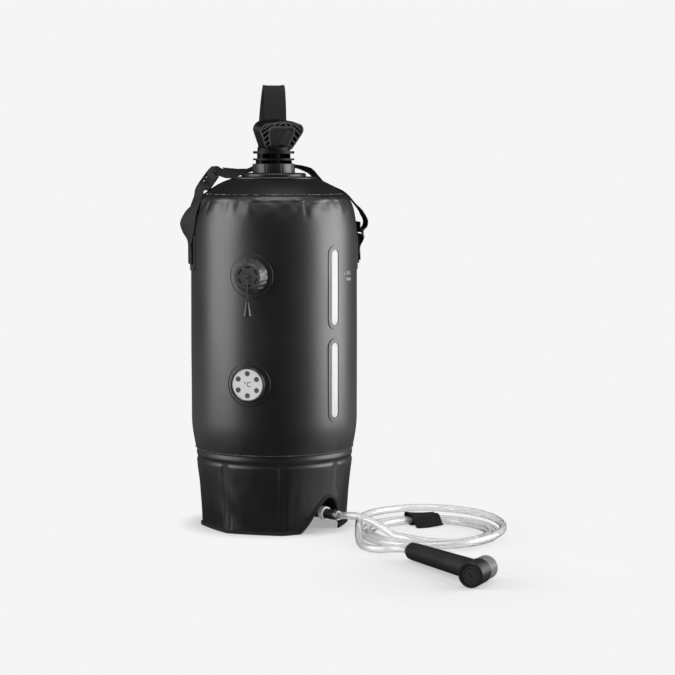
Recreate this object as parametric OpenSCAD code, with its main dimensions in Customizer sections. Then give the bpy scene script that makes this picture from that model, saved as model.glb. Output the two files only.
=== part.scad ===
// Pressurised camp shower: a film bag on a stiffened skirt with a hand pump in its neck, a relief valve,
// a thermometer, two level windows, a carry strap, a hose and a handset.
// Millimetres, +Z up, origin on the ground under the bag's axis, front towards -Y.
// Angles round the bag are degrees from the front, positive to the right.

/* [Bag] */
// Radius of the filled bag
bag_r = 115; // [110:1:120]
// Thickness of the bag film
bag_wall = 1.2; // [0.8:0.1:1.8]
// Height of the seam where the bag meets its skirt
base_seam_z = 110; // [100:1:116]
// Radius at the base seam
base_seam_r = 109.5; // [106:0.5:112]
// Height over which the side swells out above the base seam
swell_h = 43; // [30:1:46]
// Height where the side starts to round into the shoulder
shoulder_z = 395; // [394:1:405]
// Height of the shoulder seam
shoulder_seam_z = 460; // [454:1:468]
// Radius at the shoulder seam
shoulder_seam_r = 96; // [92:0.5:100]
// Rise of the top panel from the shoulder seam to the neck
top_rise = 21; // [16:1:26]
// Crown of the top panel above a straight cone
top_crown = 2.5; // [0:0.5:5]
// Depth that the bottom panel hangs below the base seam
dish_depth = 58; // [52:1:62]

/* [Skirt] */
// Thickness of the skirt cloth
skirt_wall = 1.6; // [1:0.1:2.5]
// Radius of the skirt's corners at the hem
hem_r = 102.5; // [99:0.5:107]
// Number of stiffened sides
skirt_sides = 8; // [6:1:10]
// Angle of one corner from the front
corner_angle = 6; // [0:1:20]
// How flat the sides are at the hem, 1 for fully flat
flatness = 0.75; // [0.4:0.05:1]
// Height of the hem band
hem_h = 5; // [3:0.5:8]
// Thickness of the hem band
hem_t = 1.1; // [0.8:0.1:2]
// Thickness of a stiffener panel
panel_t = 1.5; // [1:0.1:2.5]
// Height of a panel's top edge
panel_top = 94; // [84:1:96]
// Gap between two panels at a corner
panel_gap = 11; // [6:1:16]

/* [Hose arch] */
// Angle of the arch's crown
arch_angle = 46; // [40:1:52]
// Height of the arch
arch_h = 48; // [44:1:56]
// Reach of the arch's left flank along the ground
arch_left = 50; // [40:1:56]
// Reach of its right flank
arch_right = 29; // [26:1:36]
// Width of the bound edge
binding_w = 4; // [3:0.5:6]
// Thickness of the bound edge
binding_t = 0.9; // [0.6:0.1:1.5]

/* [Level windows] */
// Angle of the windows
window_angle = 45.5; // [38:0.5:52]
// Width of the clear strip
window_w = 13; // [9:0.5:16]
// Length of each clear strip
window_l = 102; // [90:1:103]
// Height of the middle of the lower window
window_low_z = 209.5; // [209:0.5:213]
// Distance from the lower window's middle to the upper one's
window_pitch = 126; // [122:1:127]
// Width of the welded frame round a strip
window_frame = 6; // [4:0.5:8]
// Thickness of that frame
window_frame_t = 0.9; // [0.6:0.1:1.5]

/* [Neck] */
// Radius of the welded flange
weld_r = 60; // [54:0.5:62]
// Thickness of the welded flange
weld_t = 2.4; // [1.8:0.1:4]
// Radius of the neck ring
ring_r = 44.5; // [40:0.5:48]
// Thickness of the neck ring
ring_t = 5; // [4:0.1:7]
// Wall of the threaded neck
neck_wall = 2; // [1.6:0.1:3]
// Height of the grip collar
collar_h = 12.3; // [10:0.1:16]
// Wall of the grip collar
collar_wall = 1.7; // [1.5:0.1:2.5]
// Thickness of the collar's lip
collar_lip = 2; // [1.5:0.1:3]
// Number of grip lobes round the collar
collar_lobes = 8; // [6:1:16]
// Thickness of the neck gasket
gasket_t = 1; // [0.6:0.1:1.6]

/* [Pump] */
// Outer radius of the barrel
barrel_r = 25; // [23:0.5:27]
// Wall of the barrel
barrel_wall = 1.6; // [1.2:0.1:2.2]
// Length of the barrel
barrel_l = 160; // [140:1:190]
// Thickness of the barrel's flange
barrel_flange_t = 2; // [1.5:0.1:3]
// Thickness of the barrel's foot
foot_t = 5; // [4:0.5:8]
// Height of the rod guide
guide_h = 10; // [6:0.5:14]
// Radius of the cross-shaped rod
rod_r = 20.4; // [18:0.2:21]
// Thickness of the rod's fins
rod_fin = 2.6; // [2:0.2:4]
// Height of the piston
piston_h = 14; // [12:0.5:18]
// Height of the cup seal
seal_h = 6; // [4:0.5:7]

/* [Handle] */
// Width of the stirrup
handle_w = 86; // [76:1:92]
// Height of the stirrup above its platform
handle_h = 41; // [36:0.5:44]
// Depth of the stirrup
handle_d = 15; // [12:0.5:20]
// Thickness of its bands
band = 2.8; // [1.8:0.1:3]
// Depth of the top bar's truss
truss = 10; // [8:0.2:11]
// Rake of the stirrup out of its platform's axis
rake = 14; // [0:1:15]
// Distance of the stirrup's foot ahead of its platform's axis
foot_ahead = 3; // [0:0.5:4]
// Thickness of the truss ribs
rib = 2.3; // [1.4:0.1:2.6]
// Half width of the stirrup's foot
handle_foot = 24; // [20:0.5:26]
// Angle that the handle is turned to
handle_angle = 43; // [0:1:90]
// Radius of the two stop discs
stop_disc_r = 28.5; // [26:0.5:30]
// Radius of the platform
platform_r = 22.5; // [22:0.5:25]

/* [Relief valve] */
// Angle of the valve
valve_angle = -15.5; // [-24:0.5:-10]
// Height of the valve's axis
valve_z = 353; // [340:0.5:358]
// Radius of a welded patch under a fitting
patch_r = 30; // [27:0.5:33]
// Thickness of a welded patch
patch_t = 1.2; // [0.8:0.1:2]
// Radius of the cap at the bag
cap_r = 23.5; // [21:0.5:26]
// Radius of the cap's face
cap_face_r = 17.6; // [17:0.2:20]
// Height of the cap
cap_h = 14.2; // [12:0.2:17]
// Number of scallops round the cap
scallops = 16; // [10:1:20]
// Radius of the valve's boss
boss_r = 15; // [13.5:0.5:15.5]
// Travel of the pulled stem
valve_travel = 4; // [2:0.5:4.5]
// Length of the pull cord
cord_l = 33; // [28:1:50]
// Diameter of the pull cord
cord_d = 2; // [1.6:0.2:3]
// Length of the toggle
toggle_l = 20; // [14:1:26]
// Radius of the toggle's lower end
toggle_r = 6; // [4:0.5:8]

/* [Thermometer] */
// Angle of the thermometer
thermo_angle = -17.5; // [-24:0.5:-10]
// Height of the thermometer's axis
thermo_z = 207.5; // [195:0.5:220]
// Radius of the dial
dial_r = 21; // [18:0.5:22.5]
// Width of the bezel
bezel_w = 3.2; // [2.4:0.2:5]
// Height of the bezel
bezel_h = 3.2; // [2.4:0.2:5]
// Radius of a spot
spot_r = 3.5; // [2.5:0.1:4]
// Radius of the circle of spots
spot_ring_r = 14.8; // [12:0.2:15.6]

/* [Outlet] */
// Angle of the outlet pipe
outlet_angle = 45; // [42:1:50]
// Height of the outlet pipe's axis
outlet_z = 25; // [22:0.5:28]
// Outer radius of the pipe
pipe_r = 7; // [6:0.25:8]
// Bore radius of the pipe
pipe_bore = 4.5; // [3:0.25:5]
// Reach of the pipe from the bag's axis
pipe_reach = 98; // [92:1:103]
// Radius of the white ring nut
outlet_nut_r = 9.2; // [8.8:0.2:10.5]
// Length of the hose connector
connector_l = 17; // [12:0.5:20]
// Radius of the hose connector
connector_r = 6.75; // [6.3:0.25:8]

/* [Hose] */
// Outer diameter of the hose
hose_d = 10; // [8:0.5:10]
// Smallest turn of the coil
coil_r = 73; // [67:1:76]
// Distance between neighbouring turns
coil_pitch = 10.6; // [10.5:0.1:12]
// Height between the coil's layers
coil_layer = 10.6; // [10.5:0.1:12]
// How much deeper than wide the coil lies
coil_stretch = 1.12; // [1:0.02:1.25]
// Width of the hook-and-loop tie
tie_w = 38; // [20:1:38]
// Thickness of the tie
tie_t = 1.3; // [0.8:0.1:1.5]

/* [Handset] */
// Distance from the grip's rear to the head's axis
handset_l = 166; // [145:1:172]
// Radius of the grip at its rear
grip_rear_r = 11.4; // [10.8:0.2:12.4]
// Radius of the grip at the head
grip_front_r = 13.2; // [12.4:0.1:14.4]
// Radius of the head's barrel
head_r = 15.5; // [15.4:0.1:17]
// Reach of the head's barrel ahead of the grip's axis
head_front = 26; // [22:0.5:29]
// Reach of the head's barrel behind the grip's axis
head_back = 30; // [26:0.5:34]
// Angle between the grip and the spray
spray_angle = 50; // [42:1:90]
// Number of spray holes
spray_holes = 20; // [12:1:24]
// Radius of the push button
button_r = 5.5; // [4:0.25:7]
// Travel of the push button
button_travel = 3; // [2:0.25:4]

/* [Strap] */
// Width of the webbing
strap_w = 30; // [25:1:32]
// Thickness of the webbing
strap_t = 1.4; // [1:0.1:1.6]
// Angle of the left anchor, with the right one opposite
anchor_angle = -80; // [-86:1:-74]
// Height of the standing loop above the neck
loop_h = 129; // [110:1:140]
// Radius of the bars of ring and adjuster
bar_r = 1.6; // [1.2:0.1:2]

/* [Clearances] */
// Gap between seated faces
seat = 0.05; // [0.02:0.01:0.1]
// Radial gap of a turning or sliding fit
fit = 0.08; // [0.03:0.01:0.1]
// Gap between moving parts that don't touch, and between soft neighbours
clear = 0.3; // [0.2:0.05:0.5]

/* [Hidden] */
$fn = 96;

black = [0.10, 0.10, 0.11];
satin = [0.16, 0.16, 0.17];
grey = [0.45, 0.46, 0.47];
white = [0.93, 0.93, 0.91];
rubber = [0.07, 0.07, 0.07];
clear_film = [0.88, 0.91, 0.92, 0.6];
steel = [0.72, 0.73, 0.75];

// Vectors, curves and skins

function unit(v) = v / norm(v);
function polar(r, angle, z) = [r * sin(angle), -r * cos(angle), z];
function smooth(t) = let (u = min(1, max(0, t))) u * u * (3 - 2 * u);

// Direction of a path at one of its points, weighted so that a short step next to a long one stays calm
function slope(path, i) =
    let (last = len(path) - 1)
    i == 0 ? unit(path[1] - path[0]) :
    i == last ? unit(path[last] - path[last - 1]) :
    let (before = norm(path[i] - path[i - 1]), after = norm(path[i + 1] - path[i]))
    ((path[i] - path[i - 1]) / before * after + (path[i + 1] - path[i]) / after * before) / (before + after);

// A point on the smooth curve through a path, between two of its points
function bend(path, i, t, first, last) =
    let (
        span = norm(path[i + 1] - path[i]),
        start = (i == 0 && first != undef ? first : slope(path, i)) * span,
        end = (i == len(path) - 2 && last != undef ? last : slope(path, i + 1)) * span
    )
    (2 * t ^ 3 - 3 * t ^ 2 + 1) * path[i] + (t ^ 3 - 2 * t ^ 2 + t) * start
    + (3 * t ^ 2 - 2 * t ^ 3) * path[i + 1] + (t ^ 3 - t ^ 2) * end;

function curve(path, step, first = undef, last = undef) = concat(
    [
        for (i = [0 : len(path) - 2])
            let (n = max(1, round(norm(path[i + 1] - path[i]) / step)))
            for (k = [0 : n - 1]) bend(path, i, k / n, first, last)
    ],
    [path[len(path) - 1]]
);

// Ring of points across a path, in order round its direction
function ring_across(p, direction, r, sides) =
    let (
        side = unit(cross(direction, abs(direction[2]) > 0.9 ? [1, 0, 0] : [0, 0, 1])),
        up = cross(side, direction)
    )
    [for (k = [0 : sides - 1]) p + r * (cos(360 * k / sides) * side + sin(360 * k / sides) * up)];

// Closed solid through rings of equal length, its sides in triangles; crossed takes the other diagonal of each side
module skin(rings, closed = false, crossed = false) {
    n = len(rings[0]);
    m = len(rings);
    steps = closed ? m : m - 1;
    sides = [
        for (i = [0 : steps - 1])
            for (j = [0 : n - 1])
                let (a = i * n + j, b = i * n + (j + 1) % n, c = ((i + 1) % m) * n + j, d = ((i + 1) % m) * n + (j + 1) % n)
                each crossed ? [[a, b, c], [b, d, c]] : [[a, b, d], [a, d, c]]
    ];
    caps = closed ? [] : [
        [for (j = [n - 1 : -1 : 0]) j],
        [for (j = [0 : n - 1]) (m - 1) * n + j]
    ];
    polyhedron(points = [for (r = rings) each r], faces = concat(sides, caps), convexity = 8);
}

module tube_along(path, r, sides, first = undef, last = undef) {
    ends = len(path) - 1;
    skin([
        for (i = [0 : ends])
            ring_across(path[i], i == 0 && first != undef ? first : i == ends && last != undef ? last : unit(slope(path, i)), r, sides)
    ]);
}

// Flat webbing along a path, each point with the direction of its width
module ribbon(path, widths, w, t) {
    skin([
        for (i = [0 : len(path) - 1])
            let (
                along = unit(slope(path, i)),
                across = unit(widths[i] - (widths[i] * along) * along),
                out = cross(along, across)
            )
            [
                path[i] - across * w / 2 - out * t / 2, path[i] - across * w / 2 + out * t / 2,
                path[i] + across * w / 2 + out * t / 2, path[i] + across * w / 2 - out * t / 2
            ]
    ]);
}

// Outline with its corners rounded
function rounded_corner(before, corner, after, r, steps) =
    let (
        a = unit(before - corner),
        b = unit(after - corner),
        half = acos(a * b) / 2,
        centre = corner + unit(a + b) * r / sin(half),
        from = corner + a * r / tan(half) - centre,
        to = corner + b * r / tan(half) - centre,
        start = atan2(from[1], from[0]),
        turn = (atan2(to[1], to[0]) - start + 540) % 360 - 180
    )
    [for (k = [0 : steps]) centre + r * [cos(start + turn * k / steps), sin(start + turn * k / steps)]];

function rounded(points, radii, steps = 6) = [
    for (i = [0 : len(points) - 1])
        each rounded_corner(points[(i + len(points) - 1) % len(points)], points[i],
            points[(i + 1) % len(points)], radii[i], steps)
];

// Outline of straight sides moved inwards by a distance
function inset(points, d) = [
    for (i = [0 : len(points) - 1])
        let (
            a = unit(points[(i + len(points) - 1) % len(points)] - points[i]),
            b = unit(points[(i + 1) % len(points)] - points[i])
        )
        points[i] + unit(a + b) * d / sin(acos(a * b) / 2)
];

function rectangle(w, h) = [[-w / 2, -h / 2], [w / 2, -h / 2], [w / 2, h / 2], [-w / 2, h / 2]];
function minus(radii, d) = [for (r = radii) r - d];

// Places children on the bag's side: their +Z points out of the bag and their +Y up
module on_side(angle, z, r = bag_r) {
    rotate([0, 0, angle]) translate([0, -r, z]) rotate([90, 0, 0]) children();
}

// A patch of the bag's cylinder between two radii, bounded by an outline extruded outwards
module side_patch(angle, z, inner, outer) {
    intersection() {
        difference() {
            translate([0, 0, base_seam_z]) cylinder(r = outer, h = shoulder_seam_z - base_seam_z);
            translate([0, 0, base_seam_z - 1]) cylinder(r = inner, h = shoulder_seam_z - base_seam_z + 2);
        }
        on_side(angle, z, bag_r / 2) linear_extrude(bag_r) children();
    }
}

module pill(w, l) {
    translate([0, -(l - w) / 2]) circle(d = w);
    translate([0, (l - w) / 2]) circle(d = w);
    square([w, l - w], center = true);
}

// Bag

neck_z = shoulder_seam_z + top_rise;
swell_steps = 6;
shoulder_steps = 14;
top_steps = 6;
dish_steps = 12;
dish_flat_r = 27;
valve_hole_r = boss_r + clear;
neck_hole_r = barrel_r + neck_wall + 4 * clear;

function side_profile(inwards) = concat(
    [
        for (k = [0 : swell_steps])
            [
                base_seam_r + (bag_r - base_seam_r) * sin(90 * k / swell_steps) - inwards,
                base_seam_z + swell_h * k / swell_steps
            ]
    ],
    [
        for (k = [0 : shoulder_steps])
            let (a = 90 * k / shoulder_steps)
            [
                shoulder_seam_r + (bag_r - shoulder_seam_r) * cos(a) - inwards,
                shoulder_z + (shoulder_seam_z - shoulder_z) * sin(a)
            ]
    ]
);

function reversed(list) = [for (i = [len(list) - 1 : -1 : 0]) list[i]];

module bag_tube() {
    color(black) difference() {
        rotate_extrude() polygon(concat(side_profile(0), reversed(side_profile(bag_wall))));
        for (k = [0, 1])
            on_side(window_angle, window_low_z + k * window_pitch, bag_r / 2)
                linear_extrude(bag_r) pill(window_w, window_l);
        on_side(valve_angle, valve_z, bag_r / 2) cylinder(r = valve_hole_r, h = bag_r);
    }
}

module bag_top() {
    drop = shoulder_seam_r - weld_r;
    slope_line = [
        for (k = [0 : top_steps])
            [
                shoulder_seam_r - drop * k / top_steps,
                shoulder_seam_z + seat + top_rise * k / top_steps + top_crown * sin(180 * k / top_steps)
            ]
    ];
    inner_line = [
        for (k = [0 : top_steps])
            [
                shoulder_seam_r - bag_wall - (drop - bag_wall) * k / top_steps,
                shoulder_seam_z + seat + (top_rise - bag_wall) * k / top_steps + top_crown * sin(180 * k / top_steps)
            ]
    ];
    color(black) rotate_extrude() polygon(concat(
        slope_line,
        [[neck_hole_r, neck_z + seat], [neck_hole_r, neck_z + seat - bag_wall]],
        reversed(inner_line)
    ));
}

dish_r = base_seam_r - bag_wall - 2 * seat - skirt_wall;
dish_z = base_seam_z - dish_depth;

function dish_line(inwards) = [
    for (k = [0 : dish_steps])
        let (a = 90 * k / dish_steps)
        [
            dish_flat_r + (dish_r - inwards - dish_flat_r) * cos(a),
            base_seam_z - (dish_depth - inwards) * sin(a)
        ]
];

module bag_bottom() {
    port = pipe_r + 1 + clear;
    weld_h = 6;
    color(black) rotate_extrude() polygon(concat(
        [[dish_r, base_seam_z + weld_h]],
        dish_line(0),
        [[port, dish_z], [port, dish_z + bag_wall]],
        reversed(dish_line(bag_wall)),
        [[dish_r - bag_wall, base_seam_z + weld_h]]
    ));
}

module level_windows() {
    color(clear_film) for (k = [0, 1])
        side_patch(window_angle, window_low_z + k * window_pitch, bag_r - bag_wall, bag_r)
            pill(window_w - 2 * seat, window_l - 2 * seat);
}

module window_frames() {
    color(satin) for (k = [0, 1])
        side_patch(window_angle, window_low_z + k * window_pitch, bag_r + seat, bag_r + seat + window_frame_t)
            difference() {
                pill(window_w + 2 * window_frame, window_l + 2 * window_frame);
                pill(window_w, window_l);
            }
}

// Skirt

side_turn = 360 / skirt_sides;
columns = 6;
skirt_top = base_seam_z - seat;
skirt_levels = [0, hem_h, 15, 32, 50, 67, 82, panel_top, skirt_top];

// Radius of the skirt's outside, round at its top and flat-sided at its hem
function skirt_r(angle, z) =
    let (
        off = (angle - corner_angle + 360 * 4) % side_turn - side_turn / 2,
        corner_r = hem_r + (base_seam_r - hem_r) * (z / base_seam_z) ^ 1.8,
        flat = flatness * (1 - smooth(z / (panel_top + 5)))
    )
    corner_r * (1 - flat * (1 - cos(side_turn / 2) / cos(off)));

function skirt_section(angle, inner, outer, levels) = concat(
    [for (z = levels) polar(skirt_r(angle, z) + outer, angle, z)],
    [for (z = reversed(levels)) polar(skirt_r(angle, z) + inner, angle, z)]
);

module skirt_shell(inner, outer, levels, crossed = false) {
    count = skirt_sides * columns;
    skin([
        for (k = [0 : count - 1])
            skirt_section(corner_angle + 360 * k / count, inner, outer, levels)
    ], closed = true, crossed = crossed);
}

arch_steps = 12;
arch_left_round = 1.2;
arch_right_round = 0.35;

// Outline of the arch, a long ogee on its left and a steep flank on its right
function arch_outline(grow) =
    let (left = arch_left + grow, right = arch_right + grow, high = arch_h + grow)
    concat(
        [[-left, -1]],
        [
            for (k = [0 : arch_steps])
                let (x = left * (k / arch_steps - 1))
                [x, high * max(0, 0.5 + 0.5 * cos(180 * x / left)) ^ arch_left_round]
        ],
        [
            for (k = [1 : arch_steps])
                let (x = right * k / arch_steps)
                [x, high * max(0, 0.5 + 0.5 * cos(180 * x / right)) ^ arch_right_round]
        ],
        [[right, -1]]
    );

module arch_cut(grow) {
    on_side(arch_angle, 0, hem_r / 2) linear_extrude(hem_r) polygon(arch_outline(grow));
}

module base_skirt() {
    color(satin) difference() {
        skirt_shell(-skirt_wall, 0, skirt_levels);
        arch_cut(0);
    }
}

module base_hem() {
    count = skirt_sides * columns;
    inner_line = [
        for (k = [0 : count - 1])
            let (angle = corner_angle + 360 * k / count)
            (skirt_r(angle, hem_h) + clear / 2) * [sin(angle), -cos(angle)]
    ];
    outer_line = [for (p = inner_line) p + unit(p) * hem_t];
    color(black) difference() {
        linear_extrude(hem_h) difference() {
            polygon(outer_line);
            polygon(inner_line);
        }
        arch_cut(binding_w + seat);
    }
}

module skirt_stiffeners() {
    back = -skirt_wall - clear;
    margin = panel_gap / 2 / hem_r * 180 / PI;
    levels = [hem_h + 2, 32, 50, 67, 82, panel_top];
    color(grey) for (side = [0 : skirt_sides - 1])
        difference() {
            start = corner_angle + side * side_turn + margin;
            width = side_turn - 2 * margin;
            skin([
                for (k = [0 : columns])
                    skirt_section(start + width * k / columns, back - panel_t, back, levels)
            ]);
            arch_cut(binding_w + 2);
        }
}

module arch_binding() {
    color(black) intersection() {
        skirt_shell(clear / 2, clear / 2 + binding_t, skirt_levels, crossed = true);
        difference() {
            arch_cut(binding_w);
            arch_cut(0);
        }
    }
}

// Neck

weld_z = neck_z + 2 * seat;
ring_z = weld_z + weld_t + seat;
collar_z = ring_z + ring_t + clear;
collar_top = collar_z + collar_h;
barrel_top = collar_top - collar_lip - seat;
gasket_z = barrel_top - barrel_flange_t - seat - gasket_t;
neck_top = gasket_z - seat;
neck_bore = barrel_r + clear;
neck_r = neck_bore + neck_wall;
collar_bore = neck_r + clear;
collar_r = collar_bore + collar_wall;
neck_spigot = 6;

module weld_flange() {
    edge = 1.2;
    color(satin) rotate_extrude() polygon([
        [neck_r + seat, weld_z], [weld_r, weld_z], [weld_r, weld_z + weld_t - edge],
        [weld_r - edge, weld_z + weld_t], [neck_r + seat, weld_z + weld_t]
    ]);
}

module neck_ring() {
    edge = 1.5;
    color(black) rotate_extrude() polygon([
        [neck_bore, weld_z - neck_spigot], [neck_r, weld_z - neck_spigot], [neck_r, ring_z],
        [ring_r, ring_z], [ring_r, ring_z + ring_t - edge], [ring_r - edge, ring_z + ring_t],
        [neck_r, ring_z + ring_t], [neck_r, neck_top], [neck_bore, neck_top]
    ]);
}

module neck_gasket() {
    color(rubber) translate([0, 0, gasket_z]) difference() {
        cylinder(r = neck_r, h = gasket_t);
        translate([0, 0, -1]) cylinder(r = neck_bore, h = gasket_t + 2);
    }
}

module collar_nut() {
    groove = 1.4;
    color(black) difference() {
        translate([0, 0, collar_z]) cylinder(r = collar_r, h = collar_h);
        translate([0, 0, collar_z - 1]) cylinder(r = collar_bore, h = collar_h - collar_lip + 1);
        translate([0, 0, collar_z]) cylinder(r = rod_r + 2 * clear, h = collar_h + 1);
        for (k = [0 : collar_lobes - 1])
            rotate([0, 0, 360 * (k + 0.5) / collar_lobes])
                translate([0, -collar_r - groove / 3, collar_z - 1]) cylinder(r = groove, h = collar_h + 2);
    }
}

// Pump

bore_r = barrel_r - barrel_wall;
barrel_z = barrel_top - barrel_l;
foot_spigot = 3;
piston_z = barrel_z + foot_spigot + 2;
piston_top = piston_z + piston_h;
spool_z = collar_top + clear;
swivel_r = 6;
swivel_head_r = 8.3;
swivel_head_h = 3;
swivel_z = piston_z + 2;
foot_stem_r = 2;

module pump_barrel() {
    color(satin) difference() {
        union() {
            translate([0, 0, barrel_z]) cylinder(r = barrel_r, h = barrel_l);
            translate([0, 0, barrel_top - barrel_flange_t]) cylinder(r = neck_r, h = barrel_flange_t);
        }
        translate([0, 0, barrel_z - 1]) cylinder(r = bore_r, h = barrel_l + 2);
    }
}

module rod_guide() {
    color(white) translate([0, 0, barrel_top - guide_h]) difference() {
        cylinder(r = bore_r - seat, h = guide_h);
        translate([0, 0, -1]) cylinder(r = rod_r + clear, h = guide_h + 2);
    }
}

module barrel_foot() {
    ports = 6;
    port_r = 2.2;
    port_ring = 9;
    color(satin) translate([0, 0, barrel_z - seat]) difference() {
        union() {
            translate([0, 0, -foot_t]) cylinder(r = barrel_r, h = foot_t);
            cylinder(r = bore_r - seat, h = foot_spigot);
        }
        translate([0, 0, -foot_t - 1]) cylinder(r = foot_stem_r + seat, h = foot_t + foot_spigot + 2);
        for (k = [0 : ports - 1])
            rotate([0, 0, 360 * k / ports]) translate([port_ring, 0, -foot_t - 1])
                cylinder(r = port_r, h = foot_t + foot_spigot + 2);
    }
}

module foot_valve() {
    flap_r = 14;
    flap_t = 1.8;
    color(rubber) translate([0, 0, barrel_z - foot_t - 2 * seat]) {
        rotate_extrude() polygon([
            [0, 0], [flap_r, 0], [flap_r, -flap_t / 3], [flap_r / 3, -flap_t], [0, -flap_t]
        ]);
        cylinder(r = foot_stem_r, h = foot_t + foot_spigot + 1);
    }
}

module piston_head() {
    groove_z = piston_z + (piston_h - seal_h) / 2;
    groove_r = bore_r - 3.6;
    color(satin) rotate_extrude() difference() {
        translate([0, piston_z]) square([bore_r - clear, piston_h]);
        translate([groove_r, groove_z]) square([bore_r, seal_h]);
        translate([0, swivel_z - fit]) square([swivel_head_r + fit, swivel_head_h + 2 * fit]);
        translate([0, swivel_z]) square([swivel_r + fit, piston_h]);
    }
}

module piston_seal() {
    groove_z = piston_z + (piston_h - seal_h) / 2;
    inner = bore_r - 3.6 + seat;
    lip = 1.4;
    color(rubber) rotate_extrude() polygon([
        [inner, groove_z + seat], [inner + lip, groove_z + seat], [(inner + bore_r) / 2, groove_z + seal_h / 2],
        [bore_r - fit - lip, groove_z + seat], [bore_r - fit, groove_z + seat],
        [bore_r - fit, groove_z + seal_h - seat - lip], [bore_r - fit - lip, groove_z + seal_h - seat],
        [inner, groove_z + seal_h - seat]
    ]);
}

spigot_r = 8;
spigot_h = 11;
pin_r = 1.5;
pin_z = spool_z + 9.8;

module piston_rod() {
    foot_z = piston_top + clear;
    rod_l = spool_z - foot_z;
    webs = 5;
    web_t = 2;
    core_r = 5.5;
    color(satin) difference() {
        union() {
            translate([0, 0, foot_z]) cylinder(r = core_r, h = rod_l);
            for (turn = [0, 90])
                rotate([0, 0, turn]) intersection() {
                    translate([-rod_r, -rod_fin / 2, foot_z]) cube([2 * rod_r, rod_fin, rod_l]);
                    translate([0, 0, foot_z]) cylinder(r = rod_r, h = rod_l);
                }
            for (k = [0 : webs])
                translate([0, 0, foot_z + (rod_l - web_t) * k / webs]) cylinder(r = rod_r, h = web_t);
            translate([0, 0, swivel_z]) cylinder(r = swivel_head_r, h = swivel_head_h);
            translate([0, 0, swivel_z]) cylinder(r = swivel_r, h = foot_z - swivel_z + 1);
            translate([0, 0, spool_z - 1]) cylinder(r = spigot_r - seat, h = spigot_h + 1);
        }
        translate([0, 0, pin_z]) rotate([0, 90, handle_angle]) cylinder(r = pin_r + seat, h = 3 * spigot_r, center = true);
    }
}

foot_ring_h = 4.7;
lower_disc_h = 2.5;
waist_h = 6.5;
upper_disc_h = 3.5;
platform_h = 5;
lower_disc_z = spool_z + foot_ring_h;
waist_z = lower_disc_z + lower_disc_h;
upper_disc_z = waist_z + waist_h;
platform_z = upper_disc_z + upper_disc_h;
stirrup_z = platform_z + platform_h;

// Outline of the stirrup seen along its depth, from its left foot round to its left shoulder
arm_top = 0.7 * handle_h;
stirrup_line = [
    [-handle_foot, 0], [handle_foot, 0], [handle_w / 2, arm_top], [0.4 * handle_w, 0.9 * handle_h],
    [0, handle_h], [-0.4 * handle_w, 0.9 * handle_h], [-handle_w / 2, arm_top]
];
stirrup_round = [9, 9, 8, 10, 60, 10, 8];
grip_half = handle_foot - 10;
grip_wide = 0.29 * handle_w;
grip_line = [
    [-grip_half, band], [grip_half, band], [grip_wide, handle_h - truss], [-grip_wide, handle_h - truss]
];
grip_round = [5, 5, 6, 6];

module stirrup_shape(line, radii) {
    polygon(rounded(line, radii));
}

// One slanted truss rib, long enough to cross the gap between the bands
module truss_rib(x, z, lean) {
    translate([x, z]) rotate(lean) square([rib, 3.2 * truss], center = true);
}

module truss_ribs() {
    top_ribs = [5.5, 15, 24.5];
    arm_ribs = [0.2, 0.42, 0.64, 0.86];
    top_lean = 58;
    arm_lean = 54;
    arm_low = handle_foot - 5;
    arm_high = (handle_w / 2 + grip_wide) / 2;
    for (side = [-1, 1]) {
        intersection() {
            union() for (x = top_ribs) truss_rib(side * x, handle_h - truss / 2 - 0.5, side * top_lean);
            translate([side * handle_w / 4, handle_h - truss / 2])
                square([handle_w / 2, truss + 2 * band], center = true);
        }
        intersection() {
            union() for (t = arm_ribs)
                truss_rib(side * (arm_low + t * (arm_high - arm_low)), arm_top * t, side * arm_lean);
            translate([side * handle_w / 4, (handle_h - truss + band) / 2])
                square([handle_w / 2, handle_h - truss + band], center = true);
        }
    }
}

module stirrup() {
    translate([0, handle_d / 2, 0]) rotate([90, 0, 0]) linear_extrude(handle_d) {
        difference() {
            stirrup_shape(stirrup_line, stirrup_round);
            stirrup_shape(inset(stirrup_line, band), minus(stirrup_round, band));
        }
        difference() {
            stirrup_shape(inset(grip_line, -band), minus(grip_round, -band));
            stirrup_shape(grip_line, grip_round);
        }
        difference() {
            intersection() {
                stirrup_shape(inset(stirrup_line, band / 2), minus(stirrup_round, band / 2));
                truss_ribs();
            }
            stirrup_shape(inset(grip_line, -band / 2), minus(grip_round, -band / 2));
        }
    }
}

module pump_handle() {
    ribs = 6;
    rib_t = 4;
    foot_r = stop_disc_r - 3;
    waist_r = stop_disc_r - 5;
    hub_r = spigot_r + 3;
    root = handle_d / 2 * sin(rake) + 0.2;
    color(black) rotate([0, 0, handle_angle]) difference() {
        union() {
            translate([0, 0, spool_z]) cylinder(r = hub_r, h = platform_z - spool_z);
            for (k = [0 : ribs - 1]) rotate([0, 0, 360 * k / ribs]) {
                translate([0, -rib_t / 2, spool_z]) cube([foot_r, rib_t, foot_ring_h + 0.5]);
                translate([0, -rib_t / 2, waist_z - 0.5]) cube([waist_r, rib_t, waist_h + 1]);
            }
            translate([0, 0, lower_disc_z]) cylinder(r = stop_disc_r, h = lower_disc_h);
            translate([0, 0, upper_disc_z]) cylinder(r = stop_disc_r, h = upper_disc_h);
            translate([0, 0, platform_z]) cylinder(r = platform_r, h = platform_h);
            translate([0, -foot_ahead, stirrup_z - root]) rotate([rake, 0, 0]) stirrup();
        }
        translate([0, 0, spool_z - 1]) cylinder(r = spigot_r, h = spigot_h + 1 + seat);
        translate([0, 0, pin_z]) rotate([0, 90, 0]) cylinder(r = pin_r + seat, h = 2 * hub_r + 2, center = true);
    }
}

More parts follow.
